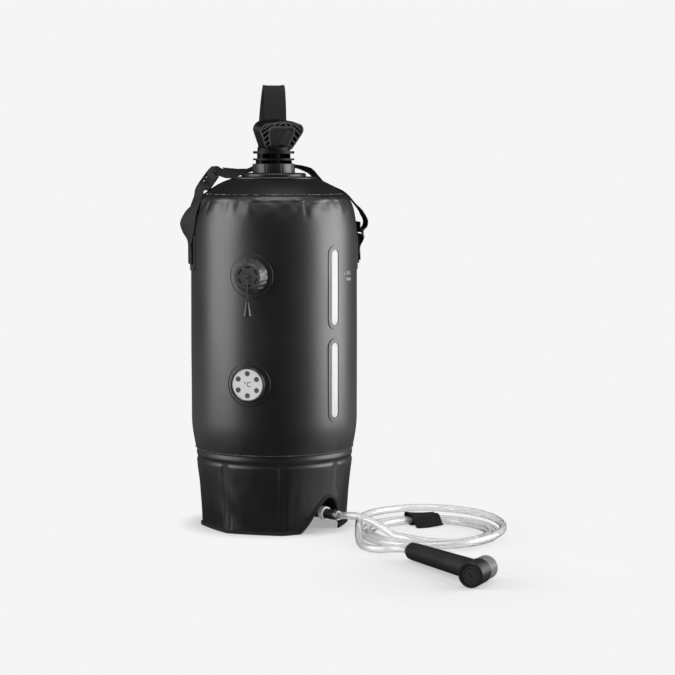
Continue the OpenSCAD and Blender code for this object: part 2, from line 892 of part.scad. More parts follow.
module handle_pin() {
    color(steel) translate([0, 0, pin_z]) rotate([0, 90, handle_angle])
        cylinder(r = pin_r, h = 2 * (spigot_r + 2.5), center = true);
}

// Relief valve, in a frame whose +Z points out of the bag

chamber_r = 10;
seat_bore = 6;
boss_in = 7;
boss_out = 5;
seat_t = 3;
cap_z = patch_t + 2 * clear;
cap_top = cap_z + cap_h;
cap_plate = 3.2;
stem_r = 1.8;
poppet_r = 8.5;
poppet_t = 2;
valve_seal_t = 1;
poppet_z = -boss_in + seat_t + valve_seal_t + 2 * seat;
lug_r = 2.6;
stem_end = cap_top + clear + lug_r;
cord_drop = lug_r + clear + cord_d / 2;

module valve_base() {
    color(satin) {
        side_patch(valve_angle, valve_z, bag_r + seat, bag_r + seat + patch_t)
            difference() {
                circle(r = patch_r);
                circle(r = boss_r - 1);
            }
        on_side(valve_angle, valve_z) difference() {
            translate([0, 0, -boss_in]) cylinder(r = boss_r, h = boss_in + boss_out);
            translate([0, 0, -boss_in - 1]) cylinder(r = seat_bore, h = boss_in);
            translate([0, 0, -boss_in + seat_t]) cylinder(r = chamber_r, h = boss_in + boss_out);
        }
    }
}

module valve_cap() {
    slots = 6;
    slot_r = 12.6;
    slot_w = 1.8;
    slot_turn = 34;
    flute_r = 2.6;
    color(black) on_side(valve_angle, valve_z) difference() {
        union() {
            translate([0, 0, cap_z]) cylinder(r1 = cap_r, r2 = cap_face_r, h = cap_h - 1);
            translate([0, 0, cap_top - 1]) cylinder(r1 = cap_face_r, r2 = cap_face_r - 1, h = 1);
        }
        translate([0, 0, cap_z - 1]) cylinder(r = boss_r + fit, h = cap_h + 1 - cap_plate);
        translate([0, 0, cap_z]) cylinder(r = stem_r + fit, h = cap_h + 1);
        for (k = [0 : scallops - 1])
            rotate([0, 0, 360 * k / scallops])
                translate([(cap_r + cap_face_r) / 2 + flute_r * 0.72, 0, cap_z + cap_h / 2])
                    rotate([24, -atan((cap_r - cap_face_r) / cap_h), 0])
                        cylinder(r = flute_r, h = 2 * cap_h, center = true);
        for (k = [0 : slots - 1])
            rotate([0, 0, 360 * k / slots + 90 - slot_turn / 2])
                translate([0, 0, cap_top - cap_plate - 1])
                    rotate_extrude(angle = slot_turn) translate([slot_r - slot_w / 2, 0]) square([slot_w, cap_plate + 2]);
    }
}

module valve_stem() {
    color(black) on_side(valve_angle, valve_z) {
        translate([0, 0, poppet_z]) cylinder(r = poppet_r, h = poppet_t);
        translate([0, 0, poppet_z]) cylinder(r = stem_r, h = stem_end - poppet_z);
        translate([0, 0, stem_end]) sphere(r = lug_r);
    }
}

module valve_seal() {
    color(rubber) on_side(valve_angle, valve_z) translate([0, 0, -boss_in + seat_t + seat])
        cylinder(r = poppet_r, h = valve_seal_t);
}

// Coil spring along +Z: straight closed-looking ends come from the slower first and last turn
function spring_path(r, z0, z1, turns) = [
    for (k = [0 : 8 * turns])
        let (t = k / (8 * turns))
        [r * cos(45 * k), r * sin(45 * k), z0 + (z1 - z0) * (0.5 * t + 0.5 * smooth(t))]
];

module valve_spring() {
    wire = 0.5;
    color(steel) on_side(valve_angle, valve_z)
        tube_along(spring_path(4.6, poppet_z + poppet_t + wire + clear / 2, cap_top - cap_plate - wire - clear / 2, 5), wire, 6);
}

module valve_cord() {
    color(rubber) on_side(valve_angle, valve_z) translate([0, -cord_drop, stem_end]) {
        sphere(r = cord_d / 2);
        rotate([90, 0, 0]) cylinder(d = cord_d, h = cord_l - cord_drop);
    }
}

module valve_toggle() {
    tip_r = 1.75;
    round = 1;
    color(black) on_side(valve_angle, valve_z) translate([0, -cord_l - seat, stem_end]) rotate([90, 0, 0]) {
        cylinder(r1 = tip_r, r2 = toggle_r, h = toggle_l - round);
        translate([0, 0, toggle_l - round]) cylinder(r1 = toggle_r, r2 = toggle_r - round, h = round);
    }
}

// Thermometer

dial_z = patch_t + seat + 2.4;
dial_t = 1.6;
spot_t = 0.5;

module thermo_base() {
    color(satin) {
        side_patch(thermo_angle, thermo_z, bag_r + seat, bag_r + seat + patch_t) circle(r = patch_r);
        on_side(thermo_angle, thermo_z) intersection() {
            translate([0, 0, -patch_t]) cylinder(r = dial_r + bezel_w, h = dial_z + patch_t - seat);
            translate([0, bag_r, bag_r * -1]) rotate([90, 0, 0]) difference() {
                cylinder(r = bag_r + dial_z + 1, h = 2 * bag_r);
                translate([0, 0, -1]) cylinder(r = bag_r + seat, h = 2 * bag_r + 2);
            }
        }
    }
}

module thermo_bezel() {
    color(black) on_side(thermo_angle, thermo_z) translate([0, 0, dial_z]) rotate_extrude() polygon([
        [dial_r + seat, 0], [dial_r + bezel_w, 0], [dial_r + bezel_w, bezel_h * 0.45],
        [dial_r + bezel_w * 0.75, bezel_h * 0.85], [dial_r + bezel_w * 0.45, bezel_h], [dial_r + seat, dial_t + 0.3]
    ]);
}

module spot_places() {
    for (k = [0 : 5]) rotate([0, 0, 60 * k + 90]) translate([spot_ring_r, 0, 0]) children();
}

module thermo_dial() {
    color(white) on_side(thermo_angle, thermo_z) translate([0, 0, dial_z]) difference() {
        cylinder(r = dial_r, h = dial_t);
        spot_places() translate([0, 0, dial_t - spot_t]) cylinder(r = spot_r + seat, h = 1);
    }
}

module thermo_spots() {
    color(rubber) on_side(thermo_angle, thermo_z) translate([0, 0, dial_z])
        spot_places() translate([0, 0, dial_t - spot_t]) cylinder(r = spot_r, h = spot_t);
}

// Outlet, its pipe along the local -Y of the outlet's angle

flange_in_r = 24;
flange_in_t = 2.2;
tail_r = pipe_r + 1;
tail_l = 9;
gasket_low_t = 1.5;
elbow_r = tail_r + 3;
elbow_top = dish_z - 2 * seat - gasket_low_t;
nut_l = 8;
nut_back = 6;

module outlet_pipe(r, from, to) {
    rotate([0, 0, outlet_angle]) translate([0, -from, outlet_z]) rotate([90, 0, 0]) cylinder(r = r, h = to - from);
}

module outlet_flange() {
    color(black) difference() {
        union() {
            translate([0, 0, dish_z + bag_wall + seat]) cylinder(r = flange_in_r, h = flange_in_t);
            translate([0, 0, dish_z - tail_l]) cylinder(r = tail_r, h = tail_l + bag_wall + seat + 1);
        }
        translate([0, 0, dish_z - tail_l - 1]) cylinder(r = pipe_bore, h = tail_l + bag_wall + flange_in_t + 3);
    }
}

module outlet_gasket() {
    color(rubber) translate([0, 0, dish_z - seat - gasket_low_t]) difference() {
        cylinder(r = elbow_r + 2, h = gasket_low_t);
        translate([0, 0, -1]) cylinder(r = tail_r + seat, h = gasket_low_t + 2);
    }
}

module outlet_elbow() {
    low = outlet_z - pipe_r - 1;
    color(black) difference() {
        union() {
            translate([0, 0, low]) cylinder(r = elbow_r, h = elbow_top - low);
            outlet_pipe(pipe_r, 0, pipe_reach);
        }
        translate([0, 0, dish_z - tail_l - seat]) cylinder(r = tail_r + seat, h = tail_l);
        translate([0, 0, outlet_z]) cylinder(r = pipe_bore - 0.5, h = dish_z - outlet_z);
        outlet_pipe(pipe_bore, -pipe_bore - 1, pipe_reach + 1);
    }
}

module outlet_nut() {
    color(white) difference() {
        outlet_pipe(outlet_nut_r, pipe_reach - nut_back, pipe_reach - nut_back + nut_l);
        outlet_pipe(pipe_r + seat, pipe_reach - nut_back - 1, pipe_reach - nut_back + nut_l + 1);
    }
}

connector_start = pipe_reach + 2 + seat;
connector_end = connector_start + connector_l;

module hose_connector() {
    bore = hose_d / 2 - 1.6;
    color(black) difference() {
        union() {
            outlet_pipe(connector_r, connector_start, connector_end);
            outlet_pipe(pipe_r - 0.4, pipe_reach + seat, connector_start + 1);
        }
        outlet_pipe(bore, pipe_reach, connector_end + 1);
    }
}

// Hose: a lead from the outlet, a coil on the ground and a tail to the handset

handset_rear = [174, -269, grip_rear_r + 0.2];
handset_yaw = -65;
handset_pitch = asin((head_r + 0.1 - handset_rear[2]) / handset_l);
handset_dir = [cos(handset_pitch) * cos(handset_yaw), cos(handset_pitch) * sin(handset_yaw), sin(handset_pitch)];
hose_r = hose_d / 2;
hose_sides = 10;
coil_sides = 6;
coil_step = 15;
coil_centre = [211, -112];
coil_start = 225;
coil_end = 1005;
coil_flat = 720;
coil_climb = 180;
coil_low = hose_r + tie_t + clear;
coil_drop = 5.5;
coil_drop_turn = 70;
top_shift = 20;
top_shift_start = 830;
top_shift_turn = 130;

function coil_point(a) =
    let (
        r = coil_r + coil_pitch * min(a, coil_flat + coil_climb / 2) / 360,
        shift = top_shift * smooth((a - top_shift_start) / top_shift_turn),
        z = coil_low + coil_drop * (1 - smooth(a / coil_drop_turn)) + coil_layer * smooth((a - coil_flat) / coil_climb)
    )
    [
        coil_centre[0] + r * cos(coil_start + a),
        coil_centre[1] + shift + coil_stretch * r * sin(coil_start + a),
        z
    ];

coil_path = [for (a = [0 : coil_step : coil_end + 0.1]) coil_point(a)];
coil_first = unit(coil_point(0.5) - coil_point(0));
coil_last_angle = coil_step * (len(coil_path) - 1);
coil_last = unit(coil_point(coil_last_angle) - coil_point(coil_last_angle - 0.5));

// Least distance between turns that lie a turn or more apart, less the hose itself
coil_gap = min([
    for (a = [0 : 5 : coil_last_angle], b = [a + 180 : 5 : coil_last_angle])
        norm(coil_point(a) - coil_point(b))
]) - hose_d;
echo(coil_gap = coil_gap);

lead_start = polar(connector_end + seat, outlet_angle, outlet_z);
lead_points = [
    lead_start, [97, -97, 26.6], [111, -111, 28], [124, -126, 26.2], [138, -144, 22], [150, -160, 17],
    coil_point(0)
];
tail_points = [
    coil_point(coil_last_angle), coil_point(1022), coil_point(1038), [112.5, -128, 15.8], [111.5, -150, 12.3],
    [111.5, -172, 8], [114, -196, 5.8], [122, -217, 5.6], [137, -231, 6.6], [153, -240, 9], [165.5, -252, 10.8],
    handset_rear
];

module hose_lead() {
    out = polar(1, outlet_angle, 0);
    color(clear_film) tube_along(curve(lead_points, 12, out, coil_first), hose_r, hose_sides, out, coil_first);
}

module hose_coil() {
    color(clear_film) tube_along(coil_path, hose_r, coil_sides, coil_first, coil_last);
}

module hose_tail() {
    color(clear_film) tube_along(curve(tail_points, 13, coil_last, handset_dir), hose_r, hose_sides, coil_last, handset_dir);
}

clamp_l = 6;
clamp_t = 1.2;

module clamp_ring() {
    difference() {
        cylinder(r = hose_r + clear + clamp_t, h = clamp_l);
        translate([0, 0, -1]) cylinder(r = hose_r + clear, h = clamp_l + 2);
    }
}

module hose_clamps() {
    color(steel) {
        rotate([0, 0, outlet_angle]) translate([0, -connector_end - 2 * seat, outlet_z]) rotate([90, 0, 0]) clamp_ring();
        in_handset() translate([-clamp_l - 2 * seat, 0, 0]) rotate([0, 90, 0]) clamp_ring();
    }
}

// The tie wraps the two lower strands at the back of the coil, and its free end lies forward on the ground
module hose_tie() {
    front = -31.6;
    back = -4.6;
    high = 13.6;
    inner = [[front, tie_t + seat], [back, tie_t + seat], [back, high], [front, high]];
    radii = [5, 5, 6, 6];
    flap = 16;
    tip_z = 0.4;
    color(rubber) translate([coil_centre[0] - 5 - tie_w / 2, 0, 0]) rotate([90, 0, 90]) {
        difference() {
            linear_extrude(tie_w) polygon(rounded(inset(inner, -tie_t), minus(radii, -tie_t)));
            translate([0, 0, -1]) linear_extrude(tie_w + 2) polygon(rounded(inner, radii));
        }
        linear_extrude(tie_w) polygon([
            [front - tie_t / 2, 9], [front - flap, tip_z], [front - flap, tip_z + tie_t],
            [front - tie_t / 2, 9 + 1.2 * tie_t]
        ]);
    }
}

// Handset, lying on the ground: +X along its grip from rear to head

handset_nut_l = 9;
water_r = 4.5;

module in_handset() {
    translate(handset_rear) rotate([0, -handset_pitch, handset_yaw]) children();
}

// The head's frame: +Z along the spray, origin where its axis meets the grip's axis
module in_head() {
    in_handset() translate([handset_l, 0, 0]) rotate([0, 90, -spray_angle]) children();
}

module handset_nut() {
    color(black) in_handset() rotate([0, 90, 0]) difference() {
        union() {
            cylinder(r1 = grip_rear_r - 3, r2 = grip_rear_r - 0.4, h = 3);
            translate([0, 0, 3]) cylinder(r = grip_rear_r - 0.4, h = handset_nut_l - 3);
        }
        translate([0, 0, -1]) cylinder(r = hose_r - 1.6, h = handset_nut_l + 2);
    }
}

module handset_grip() {
    start = handset_nut_l + seat;
    color(black) difference() {
        in_handset() translate([start, 0, 0]) rotate([0, 90, 0]) difference() {
            cylinder(r1 = grip_rear_r, r2 = grip_front_r, h = handset_l - start);
            translate([0, 0, -1]) cylinder(r = water_r, h = handset_l);
        }
        in_head() translate([0, 0, -head_back - 20]) cylinder(r = head_r + seat, h = head_front + head_back + 40);
    }
}

head_wall = 3;
head_split = -4;
face_t = 3.5;
back_step = 0.8;

module head_front() {
    color(black) difference() {
        in_head() difference() {
            translate([0, 0, head_split]) cylinder(r = head_r, h = head_front - head_split);
            translate([0, 0, head_split - 1]) cylinder(r = head_r - head_wall, h = head_front - head_split + 2);
        }
        in_handset() translate([handset_l - 2 * head_r, 0, 0]) rotate([0, 90, 0]) cylinder(r = water_r, h = 2 * head_r);
    }
}

button_out = 4.5;
button_flange_r = button_r + 2.5;
button_flange_t = 2;
button_stem_r = 2.5;
button_z = -head_back + head_wall + clear;
valve_wall_z = -head_back + 12;
valve_wall_t = 2;

module head_back() {
    color(grey) difference() {
        in_head() difference() {
            translate([0, 0, -head_back]) cylinder(r = head_r - back_step, h = head_back + head_split - seat);
            translate([0, 0, -head_back + head_wall])
                cylinder(r = head_r - head_wall, h = valve_wall_z + head_back - head_wall);
            translate([0, 0, valve_wall_z + valve_wall_t]) cylinder(r = head_r - head_wall, h = head_back);
            translate([0, 0, -head_back - 1]) cylinder(r = button_r + fit, h = head_wall + 2);
            translate([0, 0, valve_wall_z - 1]) cylinder(r = button_stem_r + fit, h = valve_wall_t + 2);
        }
        in_handset() translate([handset_l - 2 * head_r, 0, 0]) rotate([0, 90, 0]) cylinder(r = water_r, h = 2 * head_r);
    }
}

module spray_face() {
    hole_r = 0.6;
    hole_ring = 8;
    slot_l = 9;
    slot_w = 1.5;
    color(satin) in_head() translate([0, 0, head_front - face_t]) difference() {
        cylinder(r = head_r - head_wall - seat, h = face_t);
        for (k = [0 : spray_holes - 1])
            rotate([0, 0, 360 * k / spray_holes]) translate([hole_ring, 0, -1]) cylinder(r = hole_r, h = face_t + 2);
        translate([0, 0, face_t - 1]) rotate([0, 0, 30]) linear_extrude(2) square([slot_l, slot_w], center = true);
    }
}

module face_ring() {
    ring_h = 2;
    color(black) in_head() translate([0, 0, head_front + seat]) rotate_extrude() polygon([
        [head_r - head_wall - 0.6, 0], [head_r, 0], [head_r, ring_h * 0.5], [head_r - 0.8, ring_h],
        [head_r - head_wall, ring_h]
    ]);
}

module handset_button() {
    color(rubber) in_head() {
        translate([0, 0, -head_back - button_out]) cylinder(r1 = button_r - 1, r2 = button_r, h = 1);
        translate([0, 0, -head_back - button_out + 1]) cylinder(r = button_r, h = button_out + head_wall + clear - 1);
        translate([0, 0, button_z]) cylinder(r = button_flange_r, h = button_flange_t);
        translate([0, 0, button_z]) cylinder(r = button_stem_r, h = valve_wall_z + valve_wall_t - button_z);
    }
}

module button_seal() {
    color(rubber) in_head() translate([0, 0, valve_wall_z + valve_wall_t + seat]) cylinder(r = water_r + 1, h = 1.6);
}

module button_spring() {
    wire = 0.5;
    start = button_z + button_flange_t + wire + clear / 2;
    color(steel) in_head() tube_along(spring_path(4.2, start, valve_wall_z - wire - clear / 2, 3), wire, 6);
}

// Carry strap: from the left anchor through the adjuster, up behind the pump into a standing loop, down and
// over the right shoulder to the ring

right_angle = anchor_angle + 180;
strap_r = bag_r + seat + patch_t + clear + strap_t / 2;
tab_low = shoulder_seam_z - 96;
tab_high = shoulder_seam_z - 60;
loop_top = neck_z + loop_h;
loop_front = 50.5;
loop_back = 67;
round_bar = bar_r + clear + strap_t / 2;
ring_bar_r = bag_r + 6.6;
ring_high = tab_high + 9;
ring_low = ring_high - 8;

adjuster_at = [-(shoulder_seam_r - 6), -8, shoulder_seam_z + 18.5];
adjuster_along = unit([0.58, 0.1, 0.81]);
adjuster_lean = [0.31, -0.9, -0.28];
adjuster_across = unit(adjuster_lean - (adjuster_lean * adjuster_along) * adjuster_along);
adjuster_out = cross(adjuster_along, adjuster_across);
adjuster_slot = 8;
adjuster_bar = 4;
adjuster_t = 3;
weave = adjuster_t / 2 + clear + strap_t / 2;

function in_adjuster(x, z) = adjuster_at + x * adjuster_along + z * adjuster_out;
function tangent(angle) = [cos(angle), sin(angle), 0];

// Each row is a point of the strap's middle line and the direction of its width there
strap_rows = [
    [polar(strap_r, anchor_angle, tab_low), tangent(anchor_angle)],
    [polar(strap_r, anchor_angle, tab_low + 18), tangent(anchor_angle)],
    [polar(strap_r + 1, anchor_angle, tab_high - 5), tangent(anchor_angle)],
    [[-bag_r - 4, -25, tab_high + 6], [0.45, -0.89, 0]],
    [[-bag_r - 3.6, -29, tab_high + 17], [0.68, -0.73, 0]],
    [[-bag_r + 0.6, -30, tab_high + 32], [0.59, -0.81, 0]],
    [[-bag_r + 7.5, -27, tab_high + 46], [0.36, -0.93, 0]],
    [[-bag_r + 11, -13.3, shoulder_seam_z - 1], [0.3, -0.95, -0.08]],
    [in_adjuster(-16, -weave), adjuster_across],
    [in_adjuster(-10.5, -weave), adjuster_across],
    [in_adjuster(-2, weave), adjuster_across],
    [in_adjuster(2, weave), adjuster_across],
    [in_adjuster(10.5, -weave), adjuster_across],
    [in_adjuster(16, -weave), adjuster_across],
    [[-66, -13, neck_z + 6], [0.1, -0.95, -0.28]],
    [[-57, -5.5, neck_z + 9], [0.24, -0.93, -0.17]],
    [[-48, 4, neck_z + 11], [0.35, -0.9, -0.12]],
    [[-38, 26, neck_z + 12.5], [0.55, -0.82, 0]],
    [[-25, 50, neck_z + 13.5], [0.7, -0.7, 0]],
    [[-11, loop_back - 2, neck_z + 23], [0.85, -0.5, 0]],
    [[-7, loop_back + 2, neck_z + 46], [1, -0.1, 0]],
    [[-6, loop_back + 1, neck_z + 75], [1, 0, 0]],
    [[-3, loop_back - 0.5, loop_top - 20], [1, 0, 0]],
    [[-1, loop_back - 4, loop_top - 5], [1, 0, 0]],
    [[0, (loop_front + loop_back) / 2, loop_top], [1, 0, 0]],
    [[1, loop_front + 4, loop_top - 5], [1, 0, 0]],
    [[2, loop_front + 0.5, loop_top - 20], [1, 0, 0]],
    [[3, loop_front, neck_z + 75], [1, 0, 0]],
    [[4, loop_front + 1, neck_z + 48], [0.98, -0.1, 0]],
    [[10, loop_front + 4, neck_z + 28], [0.75, -0.6, 0]],
    [[23, loop_front + 6, neck_z + 18.5], [0.3, -0.9, 0.05]],
    [[38, loop_front + 8, neck_z + 15], [0.12, -0.95, 0.15]],
    [[51, loop_front + 10, neck_z + 10], [0.15, -0.92, 0.2]],
    [[61, loop_front + 9.5, neck_z], [0.2, -0.9, 0.1]],
    [[72, loop_front - 0.5, shoulder_seam_z + 12.5], [0.15, -0.95, 0.08]],
    [[87, loop_front - 12.5, shoulder_seam_z + 6], [0.1, -0.97, 0.05]],
    [[bag_r - 13, 26, shoulder_seam_z - 2.5], [0.05, -0.99, 0.03]],
    [[bag_r - 2, 24, shoulder_seam_z - 15], [0.05, -0.99, 0]],
    [polar(bag_r + 9.4, right_angle, shoulder_seam_z - 27), tangent(right_angle) * -1],
    [polar(bag_r + 15, right_angle, ring_high + 11), tangent(right_angle) * -1],
    [polar(bag_r + 13.6, right_angle, ring_high + 5), tangent(right_angle) * -1],
    [polar(ring_bar_r + round_bar + 0.5, right_angle, ring_high + 1), tangent(right_angle) * -1],
    [polar(ring_bar_r + round_bar * 0.72, right_angle, ring_high - round_bar * 0.72), tangent(right_angle) * -1],
    [polar(ring_bar_r, right_angle, ring_high - round_bar), tangent(right_angle) * -1],
    [polar(ring_bar_r - round_bar * 0.72, right_angle, ring_high - round_bar * 0.72), tangent(right_angle) * -1],
    [polar(ring_bar_r - round_bar, right_angle, ring_high + 1), tangent(right_angle) * -1],
    [polar(ring_bar_r - round_bar - 0.2, right_angle, ring_high + 12), tangent(right_angle) * -1]
];

module strap_through(rows, step) {
    places = curve([for (r = rows) r[0]], step);
    counts = [
        for (i = [0 : len(rows) - 2]) max(1, round(norm(rows[i + 1][0] - rows[i][0]) / step))
    ];
    widths = concat(
        [
            for (i = [0 : len(rows) - 2])
                for (k = [0 : counts[i] - 1])
                    rows[i][1] + (rows[i + 1][1] - rows[i][1]) * smooth(k / counts[i])
        ],
        [rows[len(rows) - 1][1]]
    );
    ribbon(places, widths, strap_w, strap_t);
}

module carry_strap() {
    color(black) strap_through(strap_rows, 5);
}

module strap_adjuster() {
    long = 2 * adjuster_slot + adjuster_bar + 7;
    wide = strap_w + 9;
    slot_w = strap_w + 1.5;
    shift = (adjuster_slot + adjuster_bar) / 2;
    color(black) multmatrix([
        [adjuster_along[0], adjuster_across[0], adjuster_out[0], adjuster_at[0]],
        [adjuster_along[1], adjuster_across[1], adjuster_out[1], adjuster_at[1]],
        [adjuster_along[2], adjuster_across[2], adjuster_out[2], adjuster_at[2]],
        [0, 0, 0, 1]
    ]) translate([0, 0, -adjuster_t / 2]) difference() {
        linear_extrude(adjuster_t) polygon(rounded(rectangle(long, wide), [4, 4, 4, 4]));
        for (side = [-1, 1])
            translate([side * shift, 0, -1]) linear_extrude(adjuster_t + 2)
                polygon(rounded(rectangle(adjuster_slot, slot_w), [1.5, 1.5, 1.5, 1.5], 3));
    }
}

module anchor_patches() {
    wide = strap_w + 12;
    tall = tab_high - tab_low + 14;
    color(satin) for (angle = [anchor_angle, right_angle])
        side_patch(angle, (tab_low + tab_high) / 2 - 2, bag_r + seat, bag_r + seat + patch_t)
            polygon(rounded(rectangle(wide, tall), [8, 8, 8, 8]));
}

module strap_ring() {
    half_w = strap_w / 2 + 2 + bar_r;
    half_h = (ring_high - ring_low) / 2;
    color(black) on_side(right_angle, (ring_high + ring_low) / 2, ring_bar_r) for (side = [-1, 1]) {
        translate([0, side * half_h, 0]) rotate([0, 90, 0]) cylinder(r = bar_r, h = 2 * half_w, center = true);
        translate([side * half_w, 0, 0]) rotate([90, 0, 0]) cylinder(r = bar_r, h = 2 * half_h, center = true);
        for (end = [-1, 1]) translate([side * half_w, end * half_h, 0]) sphere(r = bar_r);
    }
}

tab_rows = [
    for (row = [
        [strap_r, tab_low], [strap_r, tab_high - 18], [strap_r, tab_high - 15],
        [ring_bar_r - round_bar - 0.3, ring_low - 3],
        [ring_bar_r - round_bar * 0.95, ring_low + round_bar * 0.3],
        [ring_bar_r - round_bar * 0.5, ring_low + round_bar * 0.87],
        [ring_bar_r + round_bar * 0.5, ring_low + round_bar * 0.87],
        [ring_bar_r + round_bar * 0.95, ring_low + round_bar * 0.3],
        [ring_bar_r + round_bar * 0.7, ring_low - 4],
        [strap_r + strap_t + clear, ring_low - 13], [strap_r + strap_t + clear, tab_low + 4]
    ]) [polar(row[0], right_angle, row[1]), tangent(right_angle)]
];

module ring_tab() {
    color(black) strap_through(tab_rows, 6);
}

bag_tube();
bag_top();
bag_bottom();
base_skirt();
base_hem();
skirt_stiffeners();
arch_binding();
level_windows();
window_frames();
weld_flange();
neck_ring();
neck_gasket();
collar_nut();
pump_barrel();
rod_guide();
barrel_foot();
foot_valve();
piston_head();
piston_seal();
piston_rod();
pump_handle();
handle_pin();
valve_base();
valve_cap();
valve_stem();
valve_seal();
valve_spring();
valve_cord();
valve_toggle();
thermo_base();
thermo_bezel();
thermo_dial();
thermo_spots();
outlet_flange();
outlet_gasket();
outlet_elbow();
outlet_nut();
hose_connector();
hose_clamps();
hose_lead();
hose_coil();
hose_tail();
hose_tie();
handset_grip();
handset_nut();
head_front();
head_back();
spray_face();
face_ring();
handset_button();
button_seal();
button_spring();
carry_strap();
strap_adjuster();
anchor_patches();
strap_ring();
ring_tab();
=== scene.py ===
import math

import bmesh
import bpy
from mathutils import Matrix, Vector, noise


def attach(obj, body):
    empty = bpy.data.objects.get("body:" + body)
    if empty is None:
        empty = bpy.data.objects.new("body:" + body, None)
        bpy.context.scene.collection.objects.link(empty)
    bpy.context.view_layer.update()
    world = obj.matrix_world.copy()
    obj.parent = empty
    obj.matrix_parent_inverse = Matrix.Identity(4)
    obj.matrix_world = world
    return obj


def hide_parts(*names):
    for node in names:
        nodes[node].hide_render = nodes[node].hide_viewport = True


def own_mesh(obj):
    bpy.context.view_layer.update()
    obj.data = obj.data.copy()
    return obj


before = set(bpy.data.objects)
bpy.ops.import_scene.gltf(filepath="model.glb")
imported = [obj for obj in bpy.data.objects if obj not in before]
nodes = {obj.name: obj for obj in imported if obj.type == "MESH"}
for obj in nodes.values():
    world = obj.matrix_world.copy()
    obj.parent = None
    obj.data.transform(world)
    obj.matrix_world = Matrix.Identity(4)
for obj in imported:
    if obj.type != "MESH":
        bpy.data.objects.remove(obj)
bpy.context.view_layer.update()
scene = bpy.context.scene


# Studio: a pale floor that runs out to a pale background, one tall soft box on each side of the bag,
# a wide one overhead, and a camera a little above the neck.
PALE = (0.913, 0.913, 0.913, 1)
FLOOR_Z = -0.0004
COIL_X = 0.211
COIL_Y = -0.112
camera = bpy.data.objects.new("camera", bpy.data.cameras.new("camera"))
camera.data.sensor_width = 36
camera.data.lens = 109.6
camera.location = (0, -2.848, 0.5195)
camera.rotation_euler = (math.radians(84.8), 0, math.radians(-1.77))
scene.collection.objects.link(camera)
scene.camera = camera
scene.view_settings.view_transform = "Standard"


def lamp(name, place, aim, width, height, power):
    """Soft box of a width and height, turned to its aim."""
    light = bpy.data.lights.new(name, "AREA")
    light.shape = "RECTANGLE"
    light.size = width
    light.size_y = height
    light.energy = power
    box = bpy.data.objects.new(name, light)
    box.location = place
    box.rotation_euler = (Vector(aim) - Vector(place)).to_track_quat("-Z", "Y").to_euler()
    scene.collection.objects.link(box)


lamp("left_box", (-1.2, -0.36, 0.72), (0, 0, 0.45), 1.1, 1.4, 16.5)
lamp("right_box", (1.2, -0.12, 0.56), (0, 0, 0.45), 1.1, 1.1, 18.5)
lamp("top_box", (0.1, -0.5, 1.7), (0, 0, 0.3), 1.1, 0.9, 9)

# A Mix node has sockets for numbers and vectors ahead of those for its two colours and their mix.
MIX_FIRST = 6
MIX_SECOND = 7
MIXED = 2


def colour_mix(tree, share):
    """Mix node for two colours, driven by an output."""
    mix = tree.nodes.new("ShaderNodeMix")
    mix.data_type = "RGBA"
    tree.links.new(share, mix.inputs[0])
    return mix


def reckoned(tree, operation, *values):
    """Output of a Math node that takes other outputs."""
    node = tree.nodes.new("ShaderNodeMath")
    node.operation = operation
    for value, socket in zip(values, node.inputs):
        tree.links.new(value, socket)
    return node.outputs[0]


def ranged(tree, value, low, high, to_low, to_high, kind="LINEAR"):
    """Output of a Map Range node."""
    node = tree.nodes.new("ShaderNodeMapRange")
    node.interpolation_type = kind
    for label, number in (("From Min", low), ("From Max", high), ("To Min", to_low), ("To Max", to_high)):
        node.inputs[label].default_value = number
    tree.links.new(value, node.inputs["Value"])
    return node.outputs["Result"]


def sight(tree):
    """Two outputs: 1 where the camera looks, also through clear things, and 1 where something mirrors."""
    rays = tree.nodes.new("ShaderNodeLightPath")
    seen = reckoned(tree, "MAXIMUM", rays.outputs["Is Camera Ray"], rays.outputs["Is Transmission Ray"])
    return seen, rays.outputs["Is Glossy Ray"]


world = bpy.data.worlds.new("studio")
world.use_nodes = True
scene.world = world
tree = world.node_tree
seen, mirrored = sight(tree)
room = colour_mix(tree, mirrored)
room.inputs[MIX_FIRST].default_value = (0.34, 0.34, 0.34, 1)
room.inputs[MIX_SECOND].default_value = (0.03, 0.03, 0.03, 1)
shown = colour_mix(tree, seen)
shown.inputs[MIX_SECOND].default_value = PALE
tree.links.new(room.outputs[MIXED], shown.inputs[MIX_FIRST])
tree.links.new(shown.outputs[MIXED], tree.nodes["Background"].inputs["Color"])

bm = bmesh.new()
bmesh.ops.create_grid(bm, x_segments=1, y_segments=1, size=9)
bmesh.ops.translate(bm, verts=bm.verts, vec=(0, 0, FLOOR_Z))
floor = bpy.data.objects.new("floor", bpy.data.meshes.new("floor"))
bm.to_mesh(floor.data)
bm.free()
scene.collection.objects.link(floor)
sweep = bpy.data.materials.new("pale_sweep")
sweep.use_nodes = True
tree = sweep.node_tree
tree.nodes.remove(tree.nodes["Principled BSDF"])
seen, mirrored = sight(tree)
where = tree.nodes.new("ShaderNodeTexCoord").outputs["Object"]
paper = tree.nodes.new("ShaderNodeBsdfDiffuse")
shade = colour_mix(tree, mirrored)
shade.inputs[MIX_FIRST].default_value = (0.69, 0.69, 0.69, 1)
sides = tree.nodes.new("ShaderNodeSeparateXYZ")
tree.links.new(where, sides.inputs[0])
aside = reckoned(tree, "ABSOLUTE", sides.outputs["X"])
tree.links.new(ranged(tree, aside, 0.25, 0.8, 0.06, 0.5), shade.inputs[MIX_SECOND])
tree.links.new(shade.outputs[MIXED], paper.inputs["Color"])
glow = tree.nodes.new("ShaderNodeEmission")
glow.inputs["Color"].default_value = PALE

